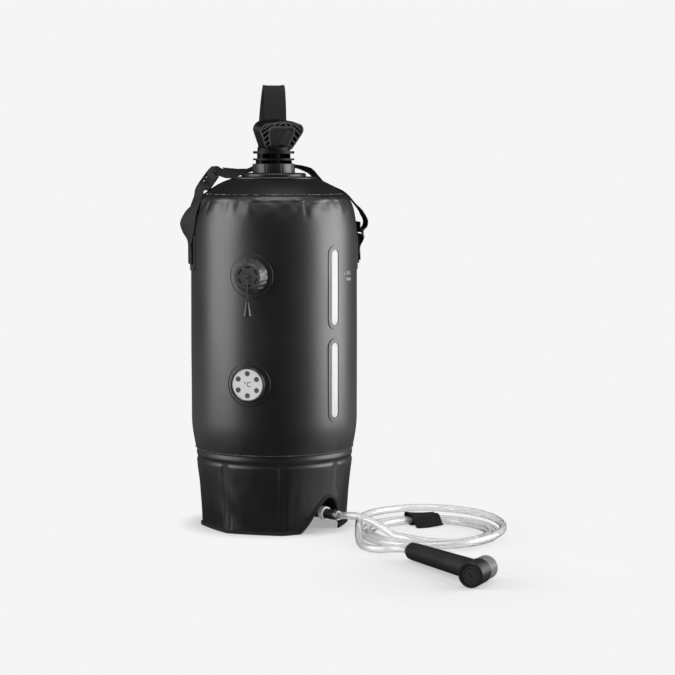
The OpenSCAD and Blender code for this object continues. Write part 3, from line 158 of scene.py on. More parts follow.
# Shadows under the bag, the coil and the handset: the middle of each, the distances at which it starts to
# fade and ends, and the least share of the backdrop in it.
shadows = (
    ((0, 0, 0), 0.098, 0.145, 0.38),
    ((COIL_X, COIL_Y, 0), 0.07, 0.25, 0.68),
    ((0.225, -0.36, 0), 0.07, 0.24, 0.45),
)
backdrop = seen
for centre, near, far, least in shadows:
    apart = tree.nodes.new("ShaderNodeVectorMath")
    apart.operation = "DISTANCE"
    apart.inputs[1].default_value = centre
    tree.links.new(where, apart.inputs[0])
    clear_of = ranged(tree, apart.outputs["Value"], near, far, least, 1.0, "SMOOTHSTEP")
    backdrop = reckoned(tree, "MINIMUM", backdrop, clear_of)
both = tree.nodes.new("ShaderNodeMixShader")
tree.links.new(backdrop, both.inputs[0])
tree.links.new(paper.outputs[0], both.inputs[1])
tree.links.new(glow.outputs[0], both.inputs[2])
tree.links.new(both.outputs[0], tree.nodes["Material Output"].inputs["Surface"])
floor.data.materials.append(sweep)


# Side film of the bag: black coated film welded into a tube, satin outside, swelling above its base seam and
# drawn in to the shoulder seam, where the spare film gathers in small puckers.
BAG_R = 0.115
FILM = 0.0012
SEAM_LOW = 0.110
SEAM_LOW_R = 0.1095
SWELL = 0.043
SHOULDER_Z = 0.395
SEAM_HIGH = 0.460
SEAM_HIGH_R = 0.096
CREASE_Z = 0.4505
PUCKERS = 27
PUCKER_LENGTH = 0.018
PUCKER_DEPTH = 0.0018
WINDOW_ANGLE = 45.5
WINDOW_HEIGHTS = (0.2095, 0.3355)
WINDOW_W = 0.013
WINDOW_L = 0.102
WINDOW_EDGE = 0.0025
VALVE_ANGLE = -15.5
VALVE_Z = 0.353
VALVE_HOLE = 0.034


def smooth_step(t):
    u = min(1.0, max(0.0, t))
    return u * u * (3 - 2 * u)


def hump(x, middle, width):
    return math.exp(-((x - middle) / width) ** 2)


def surface_group(name, fill):
    """A shader node group: fill(group, given, made) wires its inputs to its outputs."""
    group = bpy.data.node_groups.new(name, "ShaderNodeTree")
    for label in ("Scale", "Patches", "Low", "High"):
        group.interface.new_socket(label, in_out="INPUT", socket_type="NodeSocketFloat")
    group.interface.new_socket("Place", in_out="INPUT", socket_type="NodeSocketVector")
    group.interface.new_socket("Mottle", in_out="OUTPUT", socket_type="NodeSocketFloat")
    group.interface.new_socket("Height", in_out="OUTPUT", socket_type="NodeSocketFloat")
    fill(group, group.nodes.new("NodeGroupInput"), group.nodes.new("NodeGroupOutput"))
    return group


def fill_grain(group, given, made):
    """A fine grain for the height and broad patches for the mottle."""
    fine = group.nodes.new("ShaderNodeTexNoise")
    fine.inputs["Detail"].default_value = 4
    fine.inputs["Roughness"].default_value = 0.65
    broad = group.nodes.new("ShaderNodeTexNoise")
    broad.inputs["Detail"].default_value = 5
    for speckle, scale in ((fine, "Scale"), (broad, "Patches")):
        group.links.new(given.outputs["Place"], speckle.inputs["Vector"])
        group.links.new(given.outputs[scale], speckle.inputs["Scale"])
    spread = group.nodes.new("ShaderNodeMapRange")
    group.links.new(given.outputs["Low"], spread.inputs["From Min"])
    group.links.new(given.outputs["High"], spread.inputs["From Max"])
    group.links.new(broad.outputs["Fac"], spread.inputs["Value"])
    group.links.new(spread.outputs["Result"], made.inputs["Mottle"])
    group.links.new(fine.outputs["Fac"], made.inputs["Height"])


moulded_grain = surface_group("moulded_grain", fill_grain)


def finish(name, dark, light, rough, grain, depth, specular=0.5, metal=0.0, group=moulded_grain,
           place="Object", patches=16.0, patch_spread=(0.32, 0.68)):
    """Material with a mottled colour, a mottled roughness and a fine grain in its normal."""
    material = bpy.data.materials.new(name)
    material.use_nodes = True
    tree = material.node_tree
    shader = tree.nodes["Principled BSDF"]
    shader.inputs["Specular IOR Level"].default_value = specular
    shader.inputs["Metallic"].default_value = metal
    where = tree.nodes.new("ShaderNodeTexCoord")
    grained = tree.nodes.new("ShaderNodeGroup")
    grained.node_tree = group
    for label, value in (("Scale", grain), ("Patches", patches), ("Low", patch_spread[0]), ("High", patch_spread[1])):
        grained.inputs[label].default_value = value
    tree.links.new(where.outputs[place], grained.inputs["Place"])
    mottle = grained.outputs["Mottle"]
    colour = colour_mix(tree, mottle)
    colour.inputs[MIX_FIRST].default_value = (*dark, 1)
    colour.inputs[MIX_SECOND].default_value = (*light, 1)
    tree.links.new(colour.outputs[MIXED], shader.inputs["Base Color"])
    tree.links.new(ranged(tree, mottle, 0, 1, *rough), shader.inputs["Roughness"])
    bump = tree.nodes.new("ShaderNodeBump")
    bump.inputs["Strength"].default_value = 1.0
    bump.inputs["Distance"].default_value = depth
    tree.links.new(grained.outputs["Height"], bump.inputs["Height"])
    tree.links.new(bump.outputs["Normal"], shader.inputs["Normal"])
    return material


def piece(name, bm, body, material, replaces=()):
    """Object of a finished mesh, riding on its body."""
    made = bpy.data.objects.new(name, bpy.data.meshes.new(name))
    bm.to_mesh(made.data)
    bm.free()
    if "custom_normal" in made.data.attributes:
        made.data.attributes.remove(made.data.attributes["custom_normal"])
    made.data.shade_smooth()
    made.data.materials.append(material)
    scene.collection.objects.link(made)
    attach(made, body)
    if replaces:
        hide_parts(*replaces)
    return made


def wall(made, thickness, offset=-1.0):
    """Gives a sheet its thickness and keeps its cut edges crisp."""
    bm = bmesh.new()
    bm.from_mesh(made.data)
    for edge in bm.edges:
        edge.smooth = not edge.is_boundary
    bm.to_mesh(made.data)
    bm.free()
    solid = made.modifiers.new("wall", "SOLIDIFY")
    solid.thickness = thickness
    solid.offset = offset


def spun(profile, steps):
    """Profile of (radius, height) turned about the bag's axis, its faces outwards."""
    bm = bmesh.new()
    line = [bm.verts.new((0, -r, z)) for r, z in profile]
    edges = [bm.edges.new(pair) for pair in zip(line, line[1:])]
    bmesh.ops.spin(
        bm, geom=line + edges, cent=(0, 0, 0), axis=(0, 0, 1), dvec=(0, 0, 0),
        angle=2 * math.pi, steps=steps, use_merge=True,
    )
    bmesh.ops.remove_doubles(bm, verts=bm.verts, dist=1e-6)
    bmesh.ops.recalc_face_normals(bm, faces=bm.faces)
    outward = sum(f.normal.dot(f.calc_center_median()) * f.calc_area() for f in bm.faces)
    if outward < 0:
        bmesh.ops.reverse_faces(bm, faces=bm.faces)
    return bm


def angle_of(co):
    """Angle round the bag in degrees, 0 at the front, positive to the right."""
    return math.degrees(math.atan2(co.x, -co.y))


def moved_out(bm, amount):
    """Moves every point away from the axis by amount(angle, height)."""
    for v in bm.verts:
        r = math.hypot(v.co.x, v.co.y)
        if r > 1e-6:
            k = (r + amount(angle_of(v.co), v.co.z)) / r
            v.co.x *= k
            v.co.y *= k


def pill_distance(angle, z, middle_angle, middle_z, width, length):
    """Distance on the side film from the edge of an upright slot with round ends, less than 0 inside it."""
    x = math.radians(angle - middle_angle) * BAG_R
    y = max(0.0, abs(z - middle_z) - (length - width) / 2)
    return math.hypot(x, y) - width / 2


def side_r(z):
    """Radius of the side at a height: the swell, the straight side, and the shoulder."""
    if z < SEAM_LOW + SWELL:
        return SEAM_LOW_R + (BAG_R - SEAM_LOW_R) * math.sin(math.pi / 2 * (z - SEAM_LOW) / SWELL)
    if z < SHOULDER_Z:
        return BAG_R
    rise = min(1.0, (z - SHOULDER_Z) / (SEAM_HIGH - SHOULDER_Z))
    return SEAM_HIGH_R + (BAG_R - SEAM_HIGH_R) * math.sqrt(max(0.0, 1 - rise * rise))


def round_place(angle, rise):
    """Place in the noise for an angle round the bag, so that a pattern closes on itself."""
    return Vector((math.sin(math.radians(angle)), math.cos(math.radians(angle)), rise))


def puckers(angle, z):
    """Gathers that hang from a crease a little below the shoulder seam, some long, some hardly there."""
    place = round_place(angle, 0)
    strength = max(0.08, 0.55 + 1.3 * noise.noise(place * 2.3))
    sway = 3.6 * noise.noise(place * 3.1 + Vector((0, 0, 3)))
    sway += 1.3 * noise.noise(place * 5 + Vector((0, 0, z * 24)))
    fold = (0.5 + 0.5 * math.cos(math.radians(angle) * PUCKERS + sway)) ** 2
    length = PUCKER_LENGTH + 0.013 * noise.noise(place * 8.3 + Vector((0, 0, 9)))
    hang = smooth_step((CREASE_Z + 0.004 - z) / 0.006)
    hang *= smooth_step((z - (CREASE_Z - 0.002 - length)) / length)
    band = smooth_step((SEAM_HIGH - 0.001 - z) / 0.004) * smooth_step((z - (SEAM_HIGH - 0.036)) / 0.02)
    blobs = 0.0013 * noise.noise(place * 6.5 + Vector((0, 0, z * 42))) * band
    crease_z = CREASE_Z + 0.0012 * noise.noise(place * 5)
    crease = 0.0003 * max(0.0, 0.5 + 1.3 * noise.noise(place * 6)) * hump(z, crease_z, 0.0012)
    return blobs - crease - PUCKER_DEPTH * strength * fold * hang


def side_film(angle, z):
    """How far the film stands off its plain shape: puckers, a faint unevenness, gathers at the base seam."""
    place = round_place(angle, z * 6)
    calm = 0.00035 * noise.noise(place * 1.6)
    gather = hump(z, 0.118, 0.012) * 0.0003 * noise.noise(place * 9)
    return puckers(angle, z) + calm * smooth_step((z - SEAM_LOW) / 0.03) + gather


# Rows of points are closest at the shoulder, where the film puckers.
heights = [SEAM_LOW + 0.0035 * k for k in range(12)]
heights += [0.156 + 0.006 * k for k in range(40)]
heights += [0.396 + 0.002 * k for k in range(20)]
heights += [0.436 + 0.001 * k for k in range(25)]
bm = spun([(side_r(min(z, SEAM_HIGH)), min(z, SEAM_HIGH)) for z in heights], 320)
moved_out(bm, side_film)
openings = []
for face in bm.faces:
    z = face.calc_center_median().z
    a = angle_of(face.calc_center_median())
    to_window = min(pill_distance(a, z, WINDOW_ANGLE, at, WINDOW_W, WINDOW_L) for at in WINDOW_HEIGHTS)
    to_valve = pill_distance(a, z, VALVE_ANGLE, VALVE_Z, VALVE_HOLE, VALVE_HOLE)
    if to_window < WINDOW_EDGE or to_valve < 0:
        openings.append(face)
bmesh.ops.delete(bm, geom=openings, context="FACES")
bag_film = finish("bag_film", (0.0035, 0.0035, 0.0037), (0.0055, 0.0055, 0.0057), (0.36, 0.41),
                  900, 0.00003, 0.95)
side = piece("side_film", bm, "bag", bag_film, ["bag_tube"])
wall(side, FILM)


# Top panel: a ring of the same film, cut as a shallow cone and lap-welded to the side at the shoulder seam.
# The weld stands up as a thin bead, with broken pale patches painted on it as its highlight.
TOP_R = 0.0965
TOP_Z = 0.4601
TOP_RUN = 0.0383
TOP_RISE = 0.021
TOP_BOW = 0.0025
NECK_HOLE = (0.0285, 0.48105)
crown = []
for k in range(11):
    share = k / 10
    crown.append((TOP_R - TOP_RUN * share, TOP_Z + TOP_RISE * share + TOP_BOW * math.sin(math.pi * share)))
bm = spun(crown + [NECK_HOLE], 256)


def top_film(angle, z):
    return 0.0005 * noise.noise(round_place(angle, 5) * 5) * hump(z, 0.463, 0.004)


moved_out(bm, top_film)
top = piece("top_film", bm, "bag", bag_film, ["bag_top"])
wall(top, FILM)


def bead(name, radius, z, thick, uneven, material):
    """Welded bead round the bag, swelling and thinning along its length."""
    ring = [
        (radius + thick * math.cos(math.radians(a)), z + thick * math.sin(math.radians(a)))
        for a in range(0, 361, 45)
    ]
    bm = spun(ring, 320)
    for v in bm.verts:
        place = Vector((v.co.x, v.co.y, 0)) * 60
        v.co.z += uneven * noise.noise(place)
        k = 1 + uneven * 3 * noise.noise(place * 1.7) / radius
        v.co.x *= k
        v.co.y *= k
    return piece(name, bm, "bag", material)


# The bead's pale patches are a painted highlight along the weld's ridge, not wear.
weld_bead_highlight = finish("weld_bead_highlight", (0.006, 0.006, 0.006), (0.34, 0.34, 0.34), (0.45, 0.55), 400, 0.0001, 0.4,
                   patches=150.0, patch_spread=(0.44, 0.64))
bead("shoulder_weld", 0.0962, 0.4603, 0.0004, 0.0003, weld_bead_highlight)


# Bottom panel: the film that hangs inside the skirt and carries the water. It is welded in at the base seam
# and drawn down to the outlet.
DISH_FLAT = 0.027
DISH_REACH = 0.0796
DISH_DEPTH = 0.058
dish = [(0.1062, 0.116)]
for a in range(0, 91, 6):
    out = DISH_FLAT + DISH_REACH * math.cos(math.radians(a))
    dish.append((out, SEAM_LOW - DISH_DEPTH * math.sin(math.radians(a))))
bm = spun(dish + [(0.0086, SEAM_LOW - DISH_DEPTH)], 160)


def bottom_film(angle, z):
    turn = math.radians(angle)
    return 0.0007 * math.cos(14 * turn + 3 * math.sin(turn)) * hump(z, 0.078, 0.014)


moved_out(bm, bottom_film)
bmesh.ops.reverse_faces(bm, faces=bm.faces)
bottom = piece("bottom_film", bm, "bag", bag_film, ["bag_bottom"])
wall(bottom, FILM)


# Skirt: heavier coated cloth sewn to the bag at the base seam, round at the seam and eight-sided at the hem,
# where stiffener panels press through it. A gusset arch lets the hose out.
SKIRT_WALL = 0.0016
SIDE = 45
CORNER = 6
HEM_R = 0.1025
PANEL_TOP = 0.0955
FOLD_ANGLE = -33
ARCH = 46
ARCH_TOP = 0.048
ARCH_LEFT = 0.050
ARCH_RIGHT = 0.029


def skirt_r(angle, z):
    """Radius of the skirt: flat sides at the hem that ease into the round seam."""
    off = (angle - CORNER + 1440) % SIDE - SIDE / 2
    corner = HEM_R + (SEAM_LOW_R - HEM_R) * (z / SEAM_LOW) ** 1.8
    flat = 0.75 * (1 - smooth_step(z / 0.099))
    return corner * (1 - flat * (1 - math.cos(math.radians(SIDE / 2)) / math.cos(math.radians(off))))


def arch_height(x, grow):
    """Height of the arch's edge at a distance along the skirt from its crown, steeper on the right."""
    reach = (ARCH_LEFT if x < 0 else ARCH_RIGHT) + grow
    power = 1.2 if x < 0 else 0.35
    if abs(x) >= reach:
        return 0.0
    return (ARCH_TOP + grow) * (0.5 + 0.5 * math.cos(math.pi * x / reach)) ** power


def arch_place(co):
    """Distance along the skirt from the arch's crown, for points on the arch's side."""
    a = math.radians(ARCH)
    if co.x * math.sin(a) - co.y * math.cos(a) < 0.03:
        return 1.0
    return co.x * math.cos(a) + co.y * math.sin(a)


def turned_from(angle, middle):
    return (angle - middle + 180) % 360 - 180


def skirt_relief(angle, z):
    """How far the cloth stands off: panels, a roll and a dip under the seam, slack, folds and a dent."""
    off = (angle - CORNER + 1440) % SIDE
    from_corner = min(off, SIDE - off) * math.radians(1) * 0.102
    panel = smooth_step((from_corner - 0.0042) / 0.0026) * smooth_step((PANEL_TOP - z) / 0.004)
    roll = 0.0008 * hump(z, 0.1015, 0.0028)
    seam_dip = -0.0006 * hump(z, 0.1075, 0.0015)
    slack = 0.0005 * noise.noise(round_place(angle, z * 5) * 8) * smooth_step((0.1 - z) / 0.03)
    fold = 0.0019 * hump(turned_from(angle, FOLD_ANGLE), 0, 11) * hump(z, 0.034, 0.026)
    fold *= math.sin(math.radians(angle) * 15 + z * 70)
    dent = -0.0012 * hump(turned_from(angle, CORNER), 0, 7) * hump(z, 0.03, 0.03)
    return 0.0016 * panel - 0.0009 + roll + seam_dip + slack + fold + dent


# Rows of points are closest at the hem and under the seam.
levels = [0.0016 * k for k in range(32)]
levels += [0.0525 + 0.0025 * k for k in range(14)]
levels += [0.0880 + 0.0011 * k for k in range(20)]
bm = spun([(0.105, min(z, SEAM_LOW - 0.00005)) for z in levels], 360)
for v in bm.verts:
    a = angle_of(v.co)
    z = v.co.z
    r = skirt_r(a, z) + skirt_relief(a, z) * smooth_step(z / 0.006)
    v.co.x = r * math.sin(math.radians(a))
    v.co.y = -r * math.cos(math.radians(a))
arch_faces = [
    f for f in bm.faces
    if f.calc_center_median().z < arch_height(arch_place(f.calc_center_median()), 0.0016)
]
bmesh.ops.delete(bm, geom=arch_faces, context="FACES")
skirt_cloth = finish("skirt_cloth", (0.004, 0.004, 0.0042), (0.0065, 0.0065, 0.0067), (0.38, 0.45),
                     1500, 0.00004, 0.8)
skirt = piece("skirt", bm, "bag", skirt_cloth, ["base_skirt"])
wall(skirt, SKIRT_WALL)
# The base seam's bead is painted pale grey all along: a painted highlight on the weld's ridge.
base_weld_highlight = finish("base_weld_highlight", (0.05, 0.05, 0.05), (0.13, 0.13, 0.13), (0.45, 0.55), 400, 0.0001, 0.4,
                   patches=150.0, patch_spread=(0.4, 0.6))
bead("base_seam", 0.1097, 0.1098, 0.00045, 0.0001, base_weld_highlight)


def dress(material, *names):
    """Gives solids of the frame their finish."""
    for name in names:
        nodes[name].data.materials.clear()
        nodes[name].data.materials.append(material)


stiffener = finish("stiffener_sheet", (0.26, 0.26, 0.27), (0.32, 0.32, 0.33), (0.4, 0.55), 700, 0.00002)
dress(stiffener, "skirt_stiffeners")


# Hem and arch binding: black woven tape folded over the cut edges of the skirt and sewn through, with one row
# of stitches.
HEM_START = 17.5
HEM_GAP = 45.8
HEM_TAPE = 0.0049
ARCH_TAPE = 0.0042
STITCH_GAP = 0.0008


def fill_weave(group, given, made):
    """Two crossed sets of threads."""
    split = group.nodes.new("ShaderNodeSeparateXYZ")
    group.links.new(given.outputs["Place"], split.inputs[0])
    threads = []
    for axis in ("X", "Y"):
        turns = reckoned(group, "MULTIPLY", split.outputs[axis], given.outputs["Scale"])
        threads.append(reckoned(group, "SINE", turns))
    lifted = ranged(group, reckoned(group, "MULTIPLY", *threads), -1, 1, 0, 1)
    group.links.new(lifted, made.inputs["Mottle"])
    group.links.new(lifted, made.inputs["Height"])


tape_weave = surface_group("tape_weave", fill_weave)
tape = finish("binding_tape", (0.008, 0.008, 0.0085), (0.02, 0.02, 0.021), (0.6, 0.75), 3600, 0.0001, 0.3,
              group=tape_weave, place="UV")


def ribbon(name, middle, across, width, columns, lift, body, material, replaces=(), ground=0.0):
    """Tape along a line of points, no lower than the ground; across gives its width's direction at each."""
    count = len(middle)
    bm = bmesh.new()
    uv = bm.loops.layers.uv.new("UVMap")
    bmesh.ops.create_grid(bm, x_segments=count - 1, y_segments=columns, size=1, calc_uvs=True)
    lengths = [0.0]
    for p, q in zip(middle, middle[1:]):
        lengths.append(lengths[-1] + (q - p).length)
    for v in bm.verts:
        i = round((v.co.x + 1) / 2 * (count - 1))
        share = v.co.y / 2
        along = (middle[min(i + 1, count - 1)] - middle[max(i - 1, 0)]).normalized()
        side = (across[i] - across[i].dot(along) * along).normalized()
        out = along.cross(side)
        v.co = middle[i] + side * share * width + out * lift(share)
        v.co.z = max(v.co.z, ground)
    for face in bm.faces:
        for loop in face.loops:
            i = round(loop[uv].uv.x * (count - 1))
            loop[uv].uv = (lengths[i], loop[uv].uv.y * width)
    return piece(name, bm, body, material, replaces)


def plain_lift(share):
    return 0.0


def on_skirt(angle, z, out):
    r = skirt_r(angle, z) + out
    return Vector((r * math.sin(math.radians(angle)), -r * math.cos(math.radians(angle)), z))


def flat_out(p):
    return Vector((p.x, p.y, 0)).normalized()


hem_angles = [ARCH + HEM_START + (360 - HEM_GAP) * k / 180 for k in range(181)]
hem_line = [on_skirt(a, 0.0025, 0.0004) for a in hem_angles]
hem = ribbon("hem_tape", hem_line, [Vector((0, 0, 1))] * len(hem_line), HEM_TAPE, 4, plain_lift,
             "bag", tape, ["base_hem"])
wall(hem, 0.0008, 1.0)


def arch_edge(x, grow):
    """Point of the arch's outline on the skirt's surface."""
    z = arch_height(x, grow)
    a = math.radians(ARCH)
    tangent = Vector((math.cos(a), math.sin(a), 0))
    out = Vector((math.sin(a), -math.cos(a), 0))
    depth = 0.1
    for _ in range(6):
        p = tangent * x + out * depth
        depth += skirt_r(angle_of(p), z) - math.hypot(p.x, p.y)
    p = tangent * x + out * depth
    return Vector((p.x, p.y, z))


steps = [-0.0515 + 0.0805 * k / 90 for k in range(91)]
edge_line = [arch_edge(x, 0.0018) for x in steps]
edge_line = [Vector((p.x, p.y, max(p.z, 0.0022))) for p in edge_line if p.z > 0.0002]
edge_out = []
for i, p in enumerate(edge_line):
    along = (edge_line[min(i + 1, len(edge_line) - 1)] - edge_line[max(i - 1, 0)]).normalized()
    edge_out.append(flat_out(p).cross(along).normalized())
binding_line = [p + flat_out(p) * 0.0006 for p in edge_line]
binding = ribbon("arch_tape", binding_line, edge_out, ARCH_TAPE, 4, plain_lift,
                 "bag", tape, ["arch_binding"])
wall(binding, 0.0028, 0.0)


def stitches(name, line, outward, length, thread):
    """A row of stitches along a line: short rounded threads, sunk at both ends."""
    bm = bmesh.new()
    walked = 0.0
    for i in range(len(line) - 1):
        step = line[i + 1] - line[i]
        walked += step.length
        if walked < length + STITCH_GAP:
            continue
        walked = 0.0
        out = outward[i].normalized()
        along = (step - step.dot(out) * out).normalized()
        across = out.cross(along)
        turn = Matrix((along * length / 2, across * 0.00028, out * 0.00024)).transposed().to_4x4()
        bmesh.ops.create_icosphere(bm, subdivisions=1, radius=1, matrix=Matrix.Translation(line[i]) @ turn)
    return piece(name, bm, "bag", thread)


sewing = finish("sewing_thread", (0.02, 0.02, 0.02), (0.06, 0.06, 0.06), (0.45, 0.6), 3000, 0.00005, 0.4)
hem_seam = [on_skirt(ARCH + 20.5 + (360 - 55) * k / 900, 0.0037, 0.0013) for k in range(901)]
stitches("hem_stitches", hem_seam, [flat_out(p) for p in hem_seam], 0.0024, sewing)
fine_steps = [-0.044 + 0.0715 * k / 400 for k in range(401)]
arch_seam = [arch_edge(x, 0.0029) for x in fine_steps]
arch_seam = [p + flat_out(p) * 0.0021 for p in arch_seam if p.z > 0.004]
stitches("arch_stitches", arch_seam, [flat_out(p) for p in arch_seam], 0.0022, sewing)


# Level windows and welded patches: milky strips welded behind slots in the side, each under a raised frame of
# film, the round and square patches that carry the fittings, and the level mark printed beside the windows.
THERMO_ANGLE = -17.5
THERMO_Z = 0.2075
PATCH_RIM_R = 0.0292
PATCH_T = 0.0012
CAPITAL = 0.73
LEVEL_ANGLE = 61.5
LEVEL_Z = 0.3537
window_film = finish("window_film", (0.5, 0.5, 0.495), (0.57, 0.57, 0.565), (0.22, 0.32), 120, 0.00002, 0.4)
welded_film = finish("welded_film", (0.008, 0.008, 0.0083), (0.012, 0.012, 0.0123), (0.34, 0.42),
                     700, 0.00002, 0.9)


def eased(body, slot, material, width, *names):
    """Moulded and welded pieces with eased edges, each made from its solid."""
    for name in names:
        bm = bmesh.new()
        bm.from_mesh(nodes[name].data)
        bmesh.ops.remove_doubles(bm, verts=bm.verts, dist=2e-6)
        bmesh.ops.dissolve_limit(bm, angle_limit=math.radians(1.0), verts=bm.verts, edges=bm.edges)
        made = piece("eased_" + name, bm, body, material, [name])
        ease = made.modifiers.new("ease", "BEVEL")
        ease.width = width
        ease.segments = 2
        ease.limit_method = "ANGLE"
        ease.angle_limit = math.radians(32)
        made.modifiers.new("facets", "WEIGHTED_NORMAL")


dress(window_film, "level_windows")
eased("bag", "welded_pvc", welded_film, 0.0002, "window_frames")
eased("bag", "welded_pvc", welded_film, 0.0004, "weld_flange", "valve_base", "thermo_base", "anchor_patches")


def polar(r, angle, z):
    return Vector((r * math.sin(math.radians(angle)), -r * math.cos(math.radians(angle)), z))


def level(angle, sign=1):
    """Level direction along the side at an angle, to the right or, with sign -1, to the left."""
    return Vector((math.cos(math.radians(angle)), math.sin(math.radians(angle)), 0)) * sign


def welded_rim(name, angle, z, thick):
    """Rolled edge of a round welded patch, laid on the side film."""
    bm = bmesh.new()
    stand = Matrix.Translation((PATCH_RIM_R, 0, PATCH_T)) @ Matrix.Rotation(math.pi / 2, 4, "X")
    bmesh.ops.create_circle(bm, segments=10, radius=thick, matrix=stand)
    bmesh.ops.spin(
        bm, geom=bm.verts[:] + bm.edges[:], cent=(0, 0, 0), axis=(0, 0, 1), dvec=(0, 0, 0),
        angle=2 * math.pi, steps=120, use_merge=True,
    )
    bmesh.ops.remove_doubles(bm, verts=bm.verts, dist=1e-6)
    for v in bm.verts:
        v.co = polar(BAG_R + v.co.z, angle + math.degrees(v.co.x / BAG_R), z + v.co.y)
    bmesh.ops.recalc_face_normals(bm, faces=bm.faces)
    piece(name, bm, "bag", welded_film)


welded_rim("valve_rim", VALVE_ANGLE, VALVE_Z, 0.0005)
welded_rim("thermo_rim", THERMO_ANGLE, THERMO_Z, 0.0008)


def meshed(name, shape):
    """Mesh of text or of a curve."""
    shaped = bpy.data.objects.new(name, shape)
    scene.collection.objects.link(shaped)
    bpy.context.view_layer.update()
    mesh = bpy.data.meshes.new_from_object(shaped.evaluated_get(bpy.context.evaluated_depsgraph_get()))
    bpy.data.objects.remove(shaped)
    bm = bmesh.new()
    bm.from_mesh(mesh)
    bpy.data.meshes.remove(mesh)
    return bm


def lettering(name, words, height, place, ink):
    """Printed words of a capital height, made a mesh and laid where place(x, y) puts each point."""
    letters = bpy.data.curves.new(name, "FONT")
    letters.body = words
    letters.size = height / CAPITAL
    letters.align_x = "CENTER"
    letters.align_y = "CENTER"
    letters.resolution_u = 4
    bm = meshed(name, letters)
    for v in bm.verts:
        v.co = place(v.co.x, v.co.y)
    printed = piece(name, bm, "bag", ink)
    printed.data.shade_flat()
    wall(printed, 0.0001, 1.0)


def on_film(x, y):
    angle = LEVEL_ANGLE + math.degrees(x / BAG_R)
    return polar(BAG_R + side_film(angle, LEVEL_Z + y) + 0.0002, angle, LEVEL_Z + y)


def second_line(x, y):
    return on_film(x + 0.0006, y - 0.0088)


def before_line(x, y):
    return on_film(x - 0.0105, y)


print_ink = finish("print_ink", (0.42, 0.42, 0.42), (0.55, 0.55, 0.55), (0.5, 0.62), 800, 0.00001, 0.4)
lettering("level_litres", "10 L", 0.0052, on_film, print_ink)
lettering("level_word", "MAX", 0.0045, second_line, print_ink)
lettering("level_dash", "-", 0.0075, before_line, print_ink)


# Neck, collar and pump: moulded black plastic with a fine spark grain, the gasket and seals in rubber. The
# collar clamps the barrel in the neck, and a steel pin holds the handle on its rod.
moulded = finish("moulded_black", (0.007, 0.007, 0.0073), (0.011, 0.011, 0.0113), (0.3, 0.42),
                 1600, 0.00003, 0.7)
pump_plastic = finish("pump_plastic", (0.014, 0.014, 0.0145), (0.022, 0.022, 0.023), (0.28, 0.4),
                      1200, 0.00003, 0.5)
handle_plastic = finish("handle_plastic", (0.003, 0.003, 0.0032), (0.005, 0.005, 0.0052), (0.4, 0.5),
                        1400, 0.00004, 0.2)
rubber = finish("soft_rubber", (0.012, 0.012, 0.012), (0.02, 0.02, 0.02), (0.6, 0.75), 900, 0.00005, 0.3)
white_plastic = finish("white_plastic", (0.74, 0.74, 0.73), (0.8, 0.8, 0.79), (0.3, 0.42), 1100, 0.00002, 0.5)
steel = finish("drawn_steel", (0.42, 0.42, 0.43), (0.52, 0.52, 0.53), (0.24, 0.36), 2200, 0.00002, 0.5,
               metal=1.0)
eased("bag", "black_plastic", moulded, 0.0005, "neck_ring")
eased("collar", "black_plastic", moulded, 0.0004, "collar_nut")
eased("handle", "black_plastic", handle_plastic, 0.0006, "pump_handle")
dress(pump_plastic, "pump_barrel", "barrel_foot", "piston_head", "piston_rod")
dress(white_plastic, "rod_guide")
dress(rubber, "neck_gasket", "foot_valve", "piston_seal")
dress(steel, "handle_pin")


# Relief valve: a scalloped cap over a stem that a wire spring holds shut, with a braided cord and a conical
# toggle to pull it open.
CORD_LENGTH = 0.0305
CORD_R = 0.00095
# The cap is painted a lighter grey than its black plastic: a painted sheen for the front light its satin face
# reflects.
cap_painted_sheen = finish("cap_painted_sheen", (0.03, 0.03, 0.031), (0.045, 0.045, 0.046), (0.26, 0.34),
                     1600, 0.00003, 0.7)
eased("valve_cap", "black_plastic", cap_painted_sheen, 0.0003, "valve_cap")
eased("pull_cord", "black_plastic", moulded, 0.0003, "valve_toggle")
dress(moulded, "valve_stem")
dress(rubber, "valve_seal")
cord_braid = finish("cord_braid", (0.02, 0.02, 0.02), (0.07, 0.07, 0.07), (0.5, 0.6), 2600, 0.0002, 0.3)
valve_out = polar(1, VALVE_ANGLE, 0)
lug = valve_out * 0.1339 + Vector((0, 0, VALVE_Z))


def sprung(name, body):
    """A wire spring made from its solid, seated on its body."""
    bm = bmesh.new()
    bm.from_mesh(nodes[name].data)
    bmesh.ops.remove_doubles(bm, verts=bm.verts, dist=2e-6)
    wire = piece("wire_" + name, bm, body, steel, [name])
    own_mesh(wire)


def strung(name, line, radius, rounding):
    """Curve of a round cord through a line of points."""
    curve = bpy.data.curves.new(name, "CURVE")
    curve.dimensions = "3D"
    curve.bevel_depth = radius
    curve.bevel_resolution = rounding
    strand = curve.splines.new("POLY")
    strand.points.add(len(line) - 1)
    for point, p in zip(strand.points, line):
        point.co = (*p, 1)
    return curve


sprung("valve_spring", "valve_stem")
cord_line = [lug + Vector((0, 0, -0.0034 - CORD_LENGTH * k / 90)) for k in range(91)]
pull = strung("pull_cord", cord_line, CORD_R, 4)
for k, point in enumerate(pull.splines[0].points):
    point.radius = 0.92 + 0.24 * math.cos(2 * math.pi * k / 5)
pull_cord = bpy.data.objects.new("pull_cord", pull)
scene.collection.objects.link(pull_cord)
pull.materials.append(cord_braid)
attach(pull_cord, "pull_cord")
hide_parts("valve_cord")


